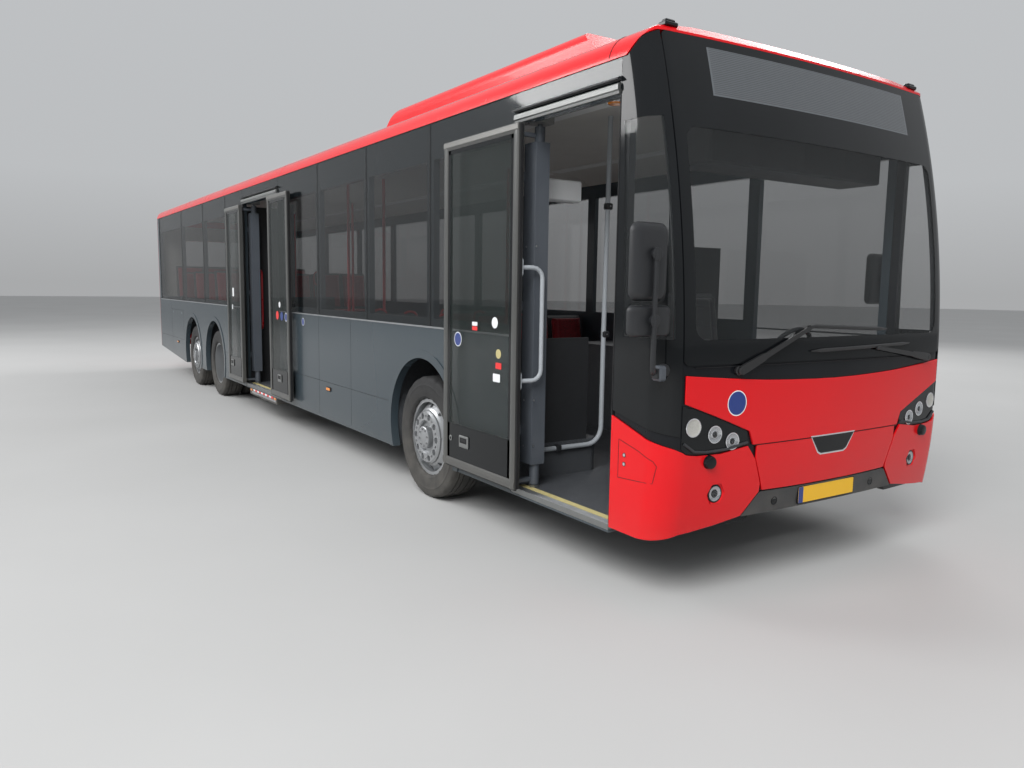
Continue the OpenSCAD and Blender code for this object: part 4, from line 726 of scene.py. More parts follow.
def make_mask():
    """The shell behind the front panels: its foot, its head and its two window pillars."""
    p = Piece("front_shell")
    stations = span(0, 1, 24) + span(1.05, 2, 19) + [3]
    low = [(u, .444 if u < .55 else .400, 1.330) for u in stations]
    front_panel(p, both(low), SHELL_IN, SHELL_BACK, "mask_black", 16)
    head = [(0, 2.930), (.5, 2.920), (.8, 2.908), (1, 2.894), (1.3, 2.885), (1.6, 2.856), (1.9, 2.818),
            (2, 2.814), (3, 2.814)]
    top = [(u, 2.560, lookup(u, head)) for u in stations]
    front_panel(p, both(top), SHELL_IN, SHELL_BACK, "cab_black", 6)
    for s in (-1, 1):
        rows = one_side([(u, 1.329, 2.561) for u in span(1.05, 1.38, 8)], s)
        front_panel(p, rows, SHELL_IN, SHELL_BACK, "mask_black", 20)
        p.side_box(s, POST_X + .0003, POST_X + .064, HALF_W - .06, HALF_W - SHELL_IN, 1.3, 2.6,
                   "mask_black", .004)
    p.build(slot="mask_black", replaces=["front_mask"])


# Edges of the windscreen and of its clear field: half width, lower edge and upper edge
SCREEN_EDGE = (1.163, 1.268, 2.936)
SCREEN_CLEAR = (1.095, 1.395, 2.462)


def screen_ring(edge, r):
    """Outline of the windscreen or its clear field, with points along its long stretches."""
    half, low, high = edge
    ring = rounded_rect(-half, low, half, high, r, 14)
    out = []
    for a, b in zip(ring, ring[1:] + ring[:1]):
        out += divided([a, b], 30 if math.dist(a, b) > .4 else 1)[:-1]
    return out


def make_windscreen():
    """The clear field and the black border of the windscreen are one sheet in two finishes."""
    outer, inner = screen_ring(SCREEN_EDGE, .03), screen_ring(SCREEN_CLEAR, .075)
    mid_z = (SCREEN_CLEAR[1] + SCREEN_CLEAR[2]) / 2
    border, clear = [], []
    for f in span(0, 1, 8):
        border.append([(a[0] + (b[0] - a[0]) * f, a[1] + (b[1] - a[1]) * f) for a, b in zip(outer, inner)])
    for f in span(1, 0, 24):
        f = max(f, .0005)
        clear.append([(y * f, mid_z + (z - mid_z) * f) for y, z in inner])
    faces = (GLASS_IN, GLASS_IN + GLASS_T)
    for name, look, slot, rings, edges in (
        ("windscreen_border", "gloss_black", "mask_black", border, (outer, inner)),
        ("windscreen_clear", "windscreen_glass", "clear_glass", clear, (inner,)),
    ):
        p = Piece(name)
        for t in faces:
            p.grid([[front(y, z, t) for y, z in ring] for ring in rings], look, wrap_v=True,
                   flip=t > GLASS_IN)
        for ring in edges:
            p.grid([[front(y, z, t) for y, z in ring] for t in faces], look, wrap_v=True)
        p.build(slot=slot, replaces=["windscreen"])


# Stations and heights of the clear field of a corner pane, and the pane's lower edge
PANE_U0, PANE_U1, PANE_Z0, PANE_Z1 = 1.35, 2.75, 1.40, 2.50
PANE_FOOT = [(1, .900), (2, .940), (3, 1.000)]


def make_corner_glass():
    """Corner panes: a clear field in a black border."""
    stations = [at_y(SCREEN_EDGE[0]) + .03] + span(1.2, 2, 16) + [2.25, 2.5, 2.75, 3]
    window = sorted({PANE_U0, PANE_U1, *(u for u in stations if PANE_U0 <= u <= PANE_U1)})
    low = sorted(set(stations + window))
    middle = (PANE_Z0 - .0015, PANE_Z1 + .0015)
    for s in (-1, 1):
        side = "left" if s > 0 else "right"
        clear, border = Piece(f"corner_pane_{side}"), Piece(f"corner_border_{side}")
        for piece, look, rows in (
            (clear, "corner_glass", [(u, PANE_Z0, PANE_Z1) for u in window]),
            (border, "gloss_black", [(u, lookup(u, PANE_FOOT), PANE_Z0 - .001) for u in low]),
            (border, "gloss_black", [(u, PANE_Z1 + .001, lookup(u, BAND_TOP)) for u in low]),
            (border, "gloss_black", [(u, *middle) for u in low if u <= PANE_U0]),
            (border, "gloss_black", [(u, *middle) for u in low if u >= PANE_U1]),
        ):
            front_panel(piece, one_side(rows, s), GLASS_IN, GLASS_IN + GLASS_T, look, 20)
        clear.build(slot="clear_glass", replaces=["corner_glass"])
        border.build(slot="mask_black", replaces=["corner_glass"])


# Depth of the pods' faces, and radius of the fog lamps in their recesses
POD_FACE, FOG_LENS_R = .0085, .0475


def make_headlamps():
    """Pods with three lamps each, and the fog lamps in their recesses."""
    pod = [(at_y(.708), .829, .899), (at_y(.716), .829, .906), (at_y(.86), .811, .962),
           (at_y(1.0), .805, 1.014),
           (at_y(1.1), .812, 1.050), (1.06, .828, 1.062), (1.13, .843, 1.066)]
    # Profiles are (distance along the axis, share of the lamp's radius)
    bezel = [(-.002, 1.13), (.0062, 1.13), (.0076, 1.09), (.0078, 1.03), (.0070, .99)]
    frost = [(.0070, .99), (.0056, .93), (.0040, .70), (.0036, 0)]
    bowl = [(.0070, .99), (.0042, .90), (.0020, .72), (.0010, .50)]
    ring = [(.0010, .50), (.0034, .48), (.0040, .42)]
    core = [(.0036, .42), (.0052, .36), (.0064, .22), (.0068, 0)]
    cover = [(.0072, .99), (.0077, .85), (.0081, .5), (.0083, 0)]
    frosted = [(bezel, "chrome"), (frost, "lamp_frost")]
    clear = [(bezel, "chrome"), (bowl, "reflector"), (ring, "chrome"), (core, "gloss_black")]
    for s in (-1, 1):
        side = "left" if s > 0 else "right"
        p, lens = Piece(f"headlamp_{side}"), Piece(f"headlamp_lens_{side}")
        front_panel(p, one_side(dense(pod, 0.04), s), POD_FACE, PANEL_T + .0012, "gloss_black", 8)
        for y, z, r in LAMPS:
            base, out = front(s * y, z, POD_FACE), outwards(s * y, z)
            for form, look in frosted if r > .043 else clear:
                p.lathe([(d, r * f) for d, f in form], base, out, look, 48, caps=False)
            lens.lathe([(d, r * f) for d, f in cover], base, out, "lamp_clear", 48, caps=False)
        p.build(bevel=.001, slot="mask_black", replaces=["headlamps"])
        lens.build(slot="lamp_clear")
        make_fog_lamp(s, side)


def make_fog_lamp(s, side):
    """A round lamp at the bottom of its hexagonal recess, and its lens."""
    base, out, ahead, up = fog_frame(s)
    fog, lens = Piece(f"fog_lamp_{side}"), Piece(f"fog_lens_{side}")
    hexagon, ring = [], []
    for c, d in circle(48):
        t = math.atan2(d, c) % (math.pi / 3)
        r = (FOG_R - 0.0006) * math.cos(math.pi / 6) / math.cos(t - math.pi / 6)
        hexagon.append(base + ahead * r * c + up * r * d - out * 0.0030)
        ring.append(base + (ahead * c + up * d) * FOG_LENS_R - out * 0.0110)
    fog.grid([hexagon, ring], "body_red", wrap_v=True)
    housing = [(-.0125, FOG_LENS_R), (-.0060, .0470), (-.0050, .0440), (-.0060, .0405), (-.0110, .0395)]
    bowl = [(-.0062, .0400), (-.0092, .0330), (-.0115, .0200), (-.0122, 0)]
    core = [(-.0115, .0120), (-.0080, .0110), (-.0070, .0060), (-.0068, 0)]
    cover = [(-.0062, .0400), (-.0040, .0390), (-.0022, .0300), (-.0014, .0150), (-.0012, 0)]
    fog.lathe(housing, base, out, "gloss_black", 48)
    fog.lathe(bowl, base, out, "reflector", 48, caps=False)
    fog.lathe(core, base, out, "gloss_black", 24)
    fog.build()
    lens.lathe(cover, base, out, "lamp_clear", 48, caps=False)
    lens.build(slot="lamp_clear")


def make_roof_details():
    """Two marker lamps on the roof's front edge."""
    p = Piece("marker_lamps")
    for s in (-1, 1):
        p.side_box(s, 6.470, 6.530, 1.037, 1.127, 2.966, 2.990, "gloss_black", .006)
        p.side_box(s, 6.480, 6.522, 1.047, 1.117, 2.985, 3.004, "gloss_black", .008)
    p.build()


make_front_panels()
make_bumper()
make_mask()
make_windscreen()
make_corner_glass()
make_headlamps()


# Wheels: height of the axles, middle plane of the outer tyres, distance of the twins, and the nuts' circle
AXLE_Z, WHEEL_Y, TWIN, NUT_CIRCLE = 0.475, 1.0985, 0.312, .1675
# Wheels: (name, place along the bus, side, whether it is a twin)
WHEELS = [("front_left", 4.130, 1, False), ("front_right", 4.130, -1, False),
          ("drive_left", -2.550, 1, True),
          ("drive_right", -2.550, -1, True), ("tag_left", -4.010, 1, False),
          ("tag_right", -4.010, -1, False)]
# Half-section of a tyre from its bead to the middle of its tread: (distance from the middle plane, radius)
SIDE_WALL = [(.086, .2868), (.101, .3008), (.113, .3030), (.1225, .3090), (.1285, .3200), (.1300, .3225),
             (.1290, .3250), (.1335, .3450), (.1358, .3640), (.1370, .3850), (.1362, .4010), (.1375, .4050),
             (.1375, .4090), (.1352, .4125), (.1335, .4260), (.1308, .4420), (.1262, .4575), (.1190, .4680)]
TREAD = [(.1080, .4745), (.0760, .4765), (.0755, .4640), (.0685, .4640), (.0680, .4771), (.0350, .4777),
         (.0345, .4640), (.0275, .4640), (.0270, .4777), (.0, .4779)]


def make_tyre(name, wheel, x, y):
    """A tyre with its ribs and shoulder notches, turned about its axle."""
    n = 160
    half = SIDE_WALL + TREAD
    section = [(-d, r) for d, r in half] + [(d, r) for d, r in reversed(half[:-1])]
    rings = []
    for d, r in section:
        ring = []
        for k, (c, s) in enumerate(circle(n, start=0.5 if d > 0 else 0)):
            notch = 0.0
            if .105 < abs(d) < .121 and k % 8 < 2:
                notch = .007
            elif .07 < abs(d) < .105 and r > .47 and k % 8 == 0:
                notch = .003
            ring.append(Vector((x + (r - notch) * c, y + d, AXLE_Z + (r - notch) * s)))
        rings.append(ring)
    p = Piece(name, wheel)
    p.grid(rings + rings[:1], "tyre_rubber", wrap_v=True)
    return p


def hex_nut(p, centre, axis, r, h, look):
    """A wheel nut on its collar, with the end of its stud."""
    centre, axis = Vector(centre), Vector(axis).normalized()
    side = axis.orthogonal().normalized()
    other = axis.cross(side)
    rings = []
    collar, edge = .004, h - .003
    for d, f, is_round in ((0, 1.28, True), (collar, 1.28, True), (collar, 1.0, False), (edge, 1.0, False),
                           (h, .86, False)):
        ring = []
        for k, (c, s) in enumerate(circle(12)):
            flat = .866 if k % 2 and not is_round else 1.0
            ring.append(centre + axis * d + (side * c + other * s) * r * f * flat)
        rings.append(ring)
    p.grid(rings, look, wrap_v=True)
    p.add(rings[-1], [list(range(12))], look)
    stud = centre + axis * h
    p.cyl(stud - axis * .002, stud + axis * .010, r * .5, look, 12, .0015)


def make_wheels():
    """Tyres, nuts, hub caps with their bolts, and valves."""
    for name, x, s, twin in WHEELS:
        body = "wheel_" + name
        for offset in ([0, -TWIN] if twin else [0]):
            tread = "tread_" + name + (".inner" if offset else "")
            tyre = make_tyre(tread, body, x, s * (WHEEL_Y + offset))
            tyre.build(angle=28, slot="tyre_rubber", replaces=["tyre_" + name])
        q = Piece("wheel_nuts_" + name, body)
        # The drive wheels' discs lie deep and their hubs stand out
        face, hub_face, hub_r, step = (-.140, -.006, .110, .012) if twin else (.112, .157, .085, -.004)
        face, hub_face = WHEEL_Y + face, WHEEL_Y + hub_face
        for c, d in circle(10, NUT_CIRCLE, 0.5):
            hex_nut(q, (x + c, s * (face - .0005), AXLE_Z + d), (0, s, 0), .0175, .024, "nut_steel")
        out = Vector((0, s, 0))
        origin = Vector((x, s * (hub_face - .0005), AXLE_Z))
        cap = [(0, .99), (.003, .985), (.006, .93), (.006, .55), (.012 + step, .48), (.014 + step, .2),
               (.014 + step, 0)]
        q.lathe([(d, hub_r * f) for d, f in cap], origin, out, "rim_silver", 48)
        for c, d in circle(8, hub_r * .78, 0.25):
            bolt = origin + Vector((c, 0, d))
            q.cyl(bolt + out * .005, bolt + out * .013, .0085, "nut_steel", 6, .001)
        valve = Vector((x + .205, s * (face + .001), AXLE_Z + .02))
        bends = [valve, valve + out * .012 + Vector((.012, 0, .001)),
                 valve + out * .02 + Vector((.038, 0, .003))]
        q.tube(bends, .0042, "nut_steel", 8, bend=.008)
        q.build(angle=30, slot="rim_silver")


make_wheels()


# Mirrors, wipers and small outside fittings
def mirror_head(p, y0, z0, y1, z1, x_back, x_front, r):
    """A mirror's housing, rounded to the front, with the glass in its back."""
    cy, cz = (y0 + y1) / 2, (z0 + z1) / 2
    depth = x_front - x_back
    rings = []
    for d, f in ((0, .985), (.004, 1.0), (.35 * depth, 1.0), (.62 * depth, .975), (.85 * depth, .90),
                 (.97 * depth, .78), (depth, .62)):
        rings.append([Vector((x_back + d, cy + (a - cy) * f, cz + (b - cz) * (1 - (1 - f) * .62)))
                      for a, b in rounded_rect(y0, z0, y1, z1, r, 8)])
    p.closed(rings, "mirror_black")
    face = [Vector((x_back - .0008, cy + (a - cy) * .93, cz + (b - cz) * .95))
            for a, b in rounded_rect(y0, z0, y1, z1, r * .9, 8)]
    p.grid([[v + Vector((.0012, 0, 0)) for v in face], face], "mirror_face", wrap_v=True)
    p.add(face, [list(range(len(face)))], "mirror_face")


def make_mirrors():
    """Two heads on the right-hand arm, one on the left-hand arm."""
    p = Piece("mirror_right")
    mirror_head(p, -1.530, 1.590, -1.320, 1.960, 6.7615, 6.820, .045)
    mirror_head(p, -1.535, 1.420, -1.285, 1.570, 6.7615, 6.820, .030)
    arm = [(6.684, -1.262, 1.245), (6.838, -1.425, 1.245), (6.838, -1.425, 1.830)]
    p.tube(arm, .013, "mirror_black", 16, bend=.06)
    for z in (1.810, 1.500):
        p.lathe([(-.034, .014), (-.030, .020), (-.004, .020), (.002, .030), (.010, .030), (.012, .026),
                 (.0122, 0)],
                (6.8375, -1.425, z), (1, 0, 0), "mirror_black", 32)
        p.lathe([(-.030, .017), (.030, .017)], (6.838, -1.425, z), (0, 0, 1), "mirror_black", 24)
    foot = front_point(-1.6, 1.245, 0)
    p.lathe([(.0, .034), (.010, .034), (.016, .026), (.018, .016)], (foot.x - .002, foot.y + .002, 1.245),
            (.69, -.72, 0), "mirror_black", 32)
    p.build(bevel=.0015, slot="mirror_black", replaces=["mirrors"])
    q = Piece("mirror_left")
    mirror_head(q, 1.325, 1.560, 1.535, 1.930, 6.1215, 6.180, .045)
    q.tube([(6.195, 1.277, 1.000), (6.195, 1.430, 1.000), (6.195, 1.430, 1.900)], .013, "mirror_black", 16,
           bend=.05)
    q.lathe([(-.028, .018), (.008, .026), (.012, .022), (.0122, 0)], (6.195, 1.430, 1.745), (1, 0, 0),
            "mirror_black", 32)
    q.lathe([(.0, .036), (.006, .036), (.010, .026)], (6.195, 1.2755, 1.000), (0, 1, 0), "mirror_black", 32)
    q.build(bevel=.0015, slot="mirror_black", replaces=["mirrors"])


# Wipers: pivot, arm tip and blade ends as (y, z)
WIPERS = [((-.800, 1.232), (-.262, 1.454), (-.288, 1.458), (.475, 1.429)),
          ((.985, 1.240), (.380, 1.318), (-.249, 1.319), (.744, 1.337))]


def make_wipers():
    """Wipers in their rest place: pivot cap, tapered arm, and a blade that follows the glass."""
    for k, (pivot, tip, end_a, end_b) in enumerate(WIPERS):
        p = Piece(f"wiper_{k + 1}")
        base, top = front(*pivot, .012), front(*pivot, -.016)
        p.lathe([(0, .024), (.014, .024), (.019, .019), (.030, .019), (.034, .014), (.0345, 0)], base,
                top - base,
                "wiper_black", 32)
        a, b = front(*pivot, -.013), front(*tip, -.014)
        out = (top - base).normalized()
        across = (b - a).normalized().cross(out).normalized()
        rings = []
        for f, w, h in ((0, .023, .007), (.06, .024, .008), (.30, .020, .0075), (.34, .015, .006),
                        (.97, .011, .0045), (1, .009, .004)):
            c = a + (b - a) * f + out * (.004 * math.sin(math.pi * f))
            rings.append([c + across * i * w + out * j * h for i,
                          j in ((1, 1), (-1, 1), (-1, -1), (1, -1))])
        p.closed(rings, "wiper_black")
        along = (front(*end_b) - front(*end_a)).normalized()
        blade, rubber = [], []
        for f in span(0, 1, 24):
            y, z = end_a[0] + (end_b[0] - end_a[0]) * f, end_a[1] + (end_b[1] - end_a[1]) * f
            c, o = front(y, z, -.004), (front(y, z, -.01) - front(y, z, 0)).normalized()
            u = along.cross(o).normalized()
            fade = min(1.0, 8 * f + .3, 8 * (1 - f) + .3)
            blade.append([c + u * i + o * j for i, j in (
                (.011 * fade, 0), (.008 * fade, .007 * fade), (-.004, .009 * fade), (-.011 * fade, .003),
                (-.010 * fade, -.001), (.009 * fade, -.001))])
            rubber.append([c + u * i + o * j for i,
                           j in ((.002, -.001), (-.002, -.001), (-.001, -.008), (.001, -.008))])
        p.closed(blade, "wiper_black")
        p.closed(rubber, "rubber")
        joint = front(*tip, -.014)
        p.box(joint - Vector((.010, .022, .010)), joint + Vector((.006, .022, .010)), "wiper_black", .004)
        p.build(bevel=.001, slot="wiper_black", replaces=["wipers"])


# Round sign on the hood: its middle
SIGN_Y, SIGN_Z = -0.803, 1.062
# Blank plate in the middle of the hood
BADGE = [(.206, .836), (-.206, .836), (-.184, .804), (-.136, .734), (-.108, .720), (.108, .720),
         (.136, .734), (.184, .804)]


def make_front_fittings():
    """Sensor domes, the blank round sign and the blank plate with its bright rim."""
    p = Piece("front_fittings")
    for y in (-.980, .980):
        p.lathe([(0, .037), (.014, .037), (.017, .035), (.034, .033), (.039, .029), (.041, .018),
                 (.0415, 0)],
                front(y, .765, .012), outwards(y, .765), "gloss_black", 32)
    for r, depth, look in ((.0675, -.0001, "sign_white"), (.062, -.0003, "sign_blue")):
        front_patch(p, [(SIGN_Y + c, SIGN_Z + d) for c, d in circle(48, r)], depth, .0006, look, 2)
    badge = divided(BADGE, 6, closed=True)
    front_patch(p, badge, -.0004, .0010, "chrome", 2)
    front_patch(p, [(y * .95, .784 + (z - .784) * .86) for y, z in badge], -.0008, .0006, "gloss_black", 2)
    p.build(bevel=.0004)


make_mirrors()
make_wipers()
make_front_fittings()
make_roof_details()


# Sides: the waist line, the foot and the head of the side glass
WAIST, GLASS_FOOT, GLASS_HEAD = 1.340, 1.347, 2.820
# Joints between the panes, and stretches of the waist strip
RIGHT_SEAMS = (-4.680, -3.115, -1.780, 1.854, 3.065, 4.250)
LEFT_SEAMS = (-4.680, -3.115, -1.780, -0.435, 0.764, 1.854, 3.065, 4.250, 5.160)
RIGHT_RUNS = ((-6.640, -0.884), (0.594, 5.388))
LEFT_RUNS = ((-6.640, 6.366),)
# Stretches of the skirts between the wheel arches and the doorways
RIGHT_SKIRTS = ((-6.780, -4.630), (-1.930, -0.880), (0.600, 3.510), (4.750, 5.390))
LEFT_SKIRTS = ((-6.780, -4.630), (-1.930, 3.510), (4.750, 6.360))
# Upright joints of the skirts
RIGHT_CUTS = (-5.690, -1.400, 1.860, 2.700, 5.080)
LEFT_CUTS = (-5.690, -1.100, 0.100, 1.300, 2.500, 5.080)


def make_side_trims():
    """Waist strips, dark joints between the panes, and the joint under the roof edge."""
    p = Piece("side_trims")
    for s, runs, seams in ((-1, RIGHT_RUNS, RIGHT_SEAMS), (1, LEFT_RUNS, LEFT_SEAMS)):
        for a, b in runs:
            p.side_box(s, a, b, 1.2748, 1.2785, WAIST - 0.0065, WAIST + 0.0065, "trim_grey", 0.0015)
            p.side_box(s, a, b, 1.2640, 1.2712, GLASS_HEAD + 0.0008, GLASS_HEAD + 0.0036, "joint_and_shade_black")
        for x in seams:
            p.side_box(s, x - 0.0038, x + 0.0038, 1.2630, 1.2690, GLASS_FOOT, GLASS_HEAD, "rubber")
    p.build()


def make_skirt_joints():
    """Fine dark joints between the skirt panels, and the flap beside the engine."""
    p = Piece("skirt_joints")
    for s, runs, cuts in ((-1, RIGHT_SKIRTS, RIGHT_CUTS), (1, LEFT_SKIRTS, LEFT_CUTS)):
        joints = [(a, b, 0.6885, 0.6920) for a, b in runs]
        joints += [(x - 0.0017, x + 0.0017, 0.352 if x > -5 else 0.42, 1.333) for x in cuts]
        joints += [(-5.690, -4.700, 1.180, 1.1835), (-4.7017, -4.6983, 0.692, 1.1835)]
        for x0, x1, z0, z1 in joints:
            p.side_box(s, x0, x1, 1.2746, 1.2754, z0, z1, "joint_and_shade_black")
        for x in (-5.55, -4.84):
            p.cyl((x, s * 1.2745, 1.13), (x, s * 1.2770, 1.13), 0.013, "rail_grey", 20, 0.001)
    p.build()


def make_side_lamps():
    """Amber markers on the skirts, and the striped strip and markers at the ramp."""
    p = Piece("side_markers")
    for s, places in ((-1, (-5.200, 2.128)), (1, (-5.200, -1.700, 2.128, 5.250))):
        for x in places:
            p.side_box(s, x - 0.055, x + 0.055, 1.2748, 1.2850, 0.604, 0.646, "rubber", 0.004)
            p.side_box(s, x - 0.046, x + 0.046, 1.2800, 1.2885, 0.611, 0.639, "lamp_amber", 0.004)
    for x in (-0.640, 0.350):
        p.box((x - 0.036, -1.2790, 0.2900), (x + 0.036, -1.2730, 0.3160), "lamp_amber", 0.003)
    stripe = 0.083
    for k in range(10):
        a = -0.560 + k * stripe
        p.box((a, -1.2741, 0.2950), (a + stripe, -1.2729, 0.3175), "sign_red" if k % 2 else "sign_white")
    p.build()


def side_point(x, z, t=0.0):
    """A point of the right-hand flank near the front corner."""
    corner_x = nose(z) - CORNER_BACK
    if x <= corner_x:
        u = 2 + (corner_x - x) / (corner_x - POST_X)
    else:
        a = math.acos(min(1.0, (x - corner_x) / CORNER_R))
        u = 1 + (a - BOW_END) / (math.pi / 2 - BOW_END)
    return front_point(-u, z, t)


# Outline of the service flap: (x, z)
FLAP = [(6.441, 0.645), (6.441, 0.853), (6.600, 0.812), (6.694, 0.776), (6.712, 0.752), (6.692, 0.660)]


def make_service_flap():
    """Flap with two round locks on each red corner, and the joints of the hood."""
    p = Piece("service_flap")
    ring = [side_point(x, z, 0.0006) for x, z in divided(FLAP, 6, closed=True)]
    p.tube(ring + ring[:1], 0.0019, "joint_and_shade_black", 6)
    for z in (0.773, 0.725):
        for deep, high, r, look, n, edge in (
            (0.002, -0.0016, 0.0125, "rubber", 24, 0.001),
            (0.0, -0.0022, 0.0085, "rail_grey", 20, 0.0006),
        ):
            p.cyl(side_point(6.487, z, deep), side_point(6.487, z, high), r, look, n, edge)
    p.mirror_y()
    for a, b in ((-0.668, -0.196), (0.196, 0.668)):
        p.tube([front(y, HOOD_SPLIT, 0.0006) for y in span(a, b, 16)], 0.0020, "joint_and_shade_black", 6)
    p.tube([front(y, 1.256, 0.0052) for y in span(-1.090, 1.090, 40)], 0.0022, "joint_and_shade_black", 6)
    p.build()


def make_rear_pillars():
    """Dark glass-coloured covers and red edge strips of the rear pillars."""
    p = Piece("rear_pillar_covers")
    foot, head = GLASS_FOOT + 0.0005, GLASS_HEAD - 0.0005
    for s in (-1, 1):
        p.side_box(s, -6.742, -6.6425, 1.2630, 1.2696, foot, head, "gloss_black", 0.002)
        p.side_box(s, -6.775, -6.744, 1.2630, 1.2696, foot, head, "body_red", 0.002)
    # Hinge bracket of the right-hand mirror's arm
    p.box((6.706, -1.312, 1.196), (6.772, -1.262, 1.272), "post_grey", 0.010)
    p.box((6.716, -1.318, 1.208), (6.764, -1.306, 1.260), "mirror_black", 0.004)
    p.build()


def make_pod_ledges():
    """Grey ledge along the foot of each headlamp pod."""
    p = Piece("pod_ledges")
    path = [(0.712, 0.846), (0.745, 0.842), (0.860, 0.822), (1.000, 0.818), (1.080, 0.826), (1.148, 0.872)]
    p.tube([front(y, z, 0.004) for y, z in divided(path, 5)], 0.0075, "bumper_black", 10)
    p.mirror_y()
    p.build()


# Roof: height of its crown, radius across the body, and the round edge's middle and radius
CROWN_Z, CROWN_R, EDGE_Y, EDGE_Z, EDGE_R = 3.060, 7.0, 1.100, 2.800, 0.175


def crown(y):
    return CROWN_Z - CROWN_R + math.sqrt(CROWN_R ** 2 - y * y)


def roof_outline(grow=0.0):
    """Outline of the roof across the body, from one lower edge over the middle to the other: (y, z)."""
    half = [(y, crown(y) + grow) for y in span(0, 1.04, 14)]
    for a in range(75, -1, -7):
        t = math.radians(a)
        half.append((EDGE_Y + (EDGE_R + grow) * math.cos(t), EDGE_Z + (EDGE_R + grow) * math.sin(t)))
    half = [q for q in half if q[1] >= 2.826]
    return [(-y, z) for y, z in reversed(half)] + half[1:]


def roof_band(p, x0, x1, look, grow):
    """A narrow band across the whole roof."""
    outer, inner = roof_outline(grow), roof_outline(-0.004)
    n = min(len(outer), len(inner))
    rows = ((x0, inner), (x0, outer), (x1, outer), (x1, inner))
    p.grid([[(x, y, z) for y, z in line[:n]] for x, line in rows], look)


def make_roof_fittings():
    """Joints and hatches of the roof."""
    p = Piece("roof_fittings")
    for x in (-4.300, -1.900, 0.700):
        roof_band(p, x - 0.010, x + 0.010, "body_red", 0.0012)
    for x in (-0.600, -4.900):
        for long, wide, r, top, thick, look, edge in (
            (0.400, 0.330, 0.06, 3.118, 0.075, "roof_white", 0.012),
            (0.430, 0.360, 0.07, 3.075, 0.045, "rubber", 0.004),
        ):
            outline = rounded_rect(x - long, -wide, x + long, wide, r)
            p.prism(outline, lambda a, b, d, top=top: (a, b, top - d), thick, look, edge)
    # The front cap's rear edge: the cap rises from the band's top with its distance from the bow
    rise = [(0, .012), (.07, .066), (.19, .104), (.42, .122), (.70, .130), (2, .130)]
    cap_x, band_z = 6.270, BAND_TOP[0][1]
    pts = []
    for y, z in roof_outline():
        inset = BOW_R - 0.004 - math.hypot(cap_x - (nose(band_z) - BOW_R), y)
        pts.append((cap_x, y, min(z, band_z + lookup(inset, rise)) - 0.0012))
    p.tube(pts, 0.0030, "joint_and_shade_black", 6)
    p.build()


def make_roof_unit_details():
    """Fan openings of the roof unit as black discs of painted shade, and their guards."""
    p = Piece("roof_unit_details")
    top = 3.2764
    for x in (3.0, 3.95, 4.90):
        # A flat black disc is painted shade in place of the opening's dark inside; the grey rings and bars
        # are the guard
        p.lathe([(-0.02, 0.27), (0.0033, 0.27), (0.0034, 0.0)], (x, 0, top), (0, 0, 1), "joint_and_shade_black", 56)
        for r in (0.265, 0.21, 0.155, 0.10, 0.045):
            ring = [(x + c, s, top) for c, s in circle(36, r)]
            p.tube(ring + ring[:1], 0.0024, "rail_grey", 6)
        for c, s in circle(8, 0.265)[:4]:
            p.tube([(x - c, -s, top), (x + c, s, top)], 0.0024, "rail_grey", 6)
    p.build()


# The rear wall's outer face, and the middle of the rear lamps
TAIL, REAR_LAMP_Y = -6.850, 1.090
# Rear lamps from the top down: (height, look)
REAR_LAMPS = ((1.120, "lamp_red"), (0.980, "lamp_amber"), (0.840, "lamp_red"), (0.700, "sign_white"))


def make_rear_lamps(s, side):
    """Four round lamps on a dark plate, each with a bright rim and rings in its lens."""
    y = s * REAR_LAMP_Y
    p = Piece(f"rear_lamps_{side}")
    p.box((TAIL + 0.0190, y - 0.0785, 0.6415), (TAIL + 0.0247, y + 0.0785, 1.2385), "gloss_black", 0.002)
    bezel = [(0, 0.061), (0.0120, 0.061), (0.0140, 0.0595), (0.0120, 0.0570), (0.0060, 0.0560)]
    lens = [(0.0040, 0.0560), (0.0125, 0.0545), (0.0150, 0.0480), (0.0158, 0.0300), (0.0160, 0)]
    for z, look in REAR_LAMPS:
        base = (TAIL + 0.0190, y, z)
        p.lathe(bezel, base, (-1, 0, 0), "chrome", 48)
        p.lathe(lens, base, (-1, 0, 0), look, 48)
        for r in (0.018, 0.031, 0.044):
            ring = [(TAIL + 0.0034, y + c, z + d) for c, d in circle(30, r)]
            p.tube(ring + ring[:1], 0.0012, look, 6)
    p.build(slot="lamp_red", replaces=["tail_lamps"])


def make_rear_details():
    """Lamps in their recesses, bars behind the hatch's slots over a black sheet of painted shade, and the
    border of the rear window.
    """
    for s, side in ((-1, "right"), (1, "left")):
        make_rear_lamps(s, side)
    p = Piece("hatch_bars_and_shade", "engine_hatch")
    # The black sheet behind the bars is painted shade of the engine bay seen through the slots
    p.box((TAIL + 0.0240, -0.6990, 0.6320), (TAIL + 0.0290, 0.6990, 0.9230), "joint_and_shade_black")
    for k in range(46):
        y = -0.690 + k * 0.0306
        p.box((TAIL + 0.0200, y, 0.6410), (TAIL + 0.0240, y + 0.0040, 0.9140), "chassis_black")
    p.build()
    p = Piece("rear_window_border")
    for y0, z0, y1, z1 in ((-0.900, 2.440, 0.900, 2.500), (-0.900, 1.500, 0.900, 1.560),
                           (-0.900, 1.560, -0.840, 2.440), (0.840, 1.560, 0.900, 2.440)):
        p.box((TAIL + 0.0040, y0, z0), (TAIL + 0.0049, y1, z1), "gloss_black")
    p.box((TAIL + 0.0030, -0.170, 2.455), (TAIL + 0.0042, 0.170, 2.482), "lamp_red", 0.0004)
    p.build()


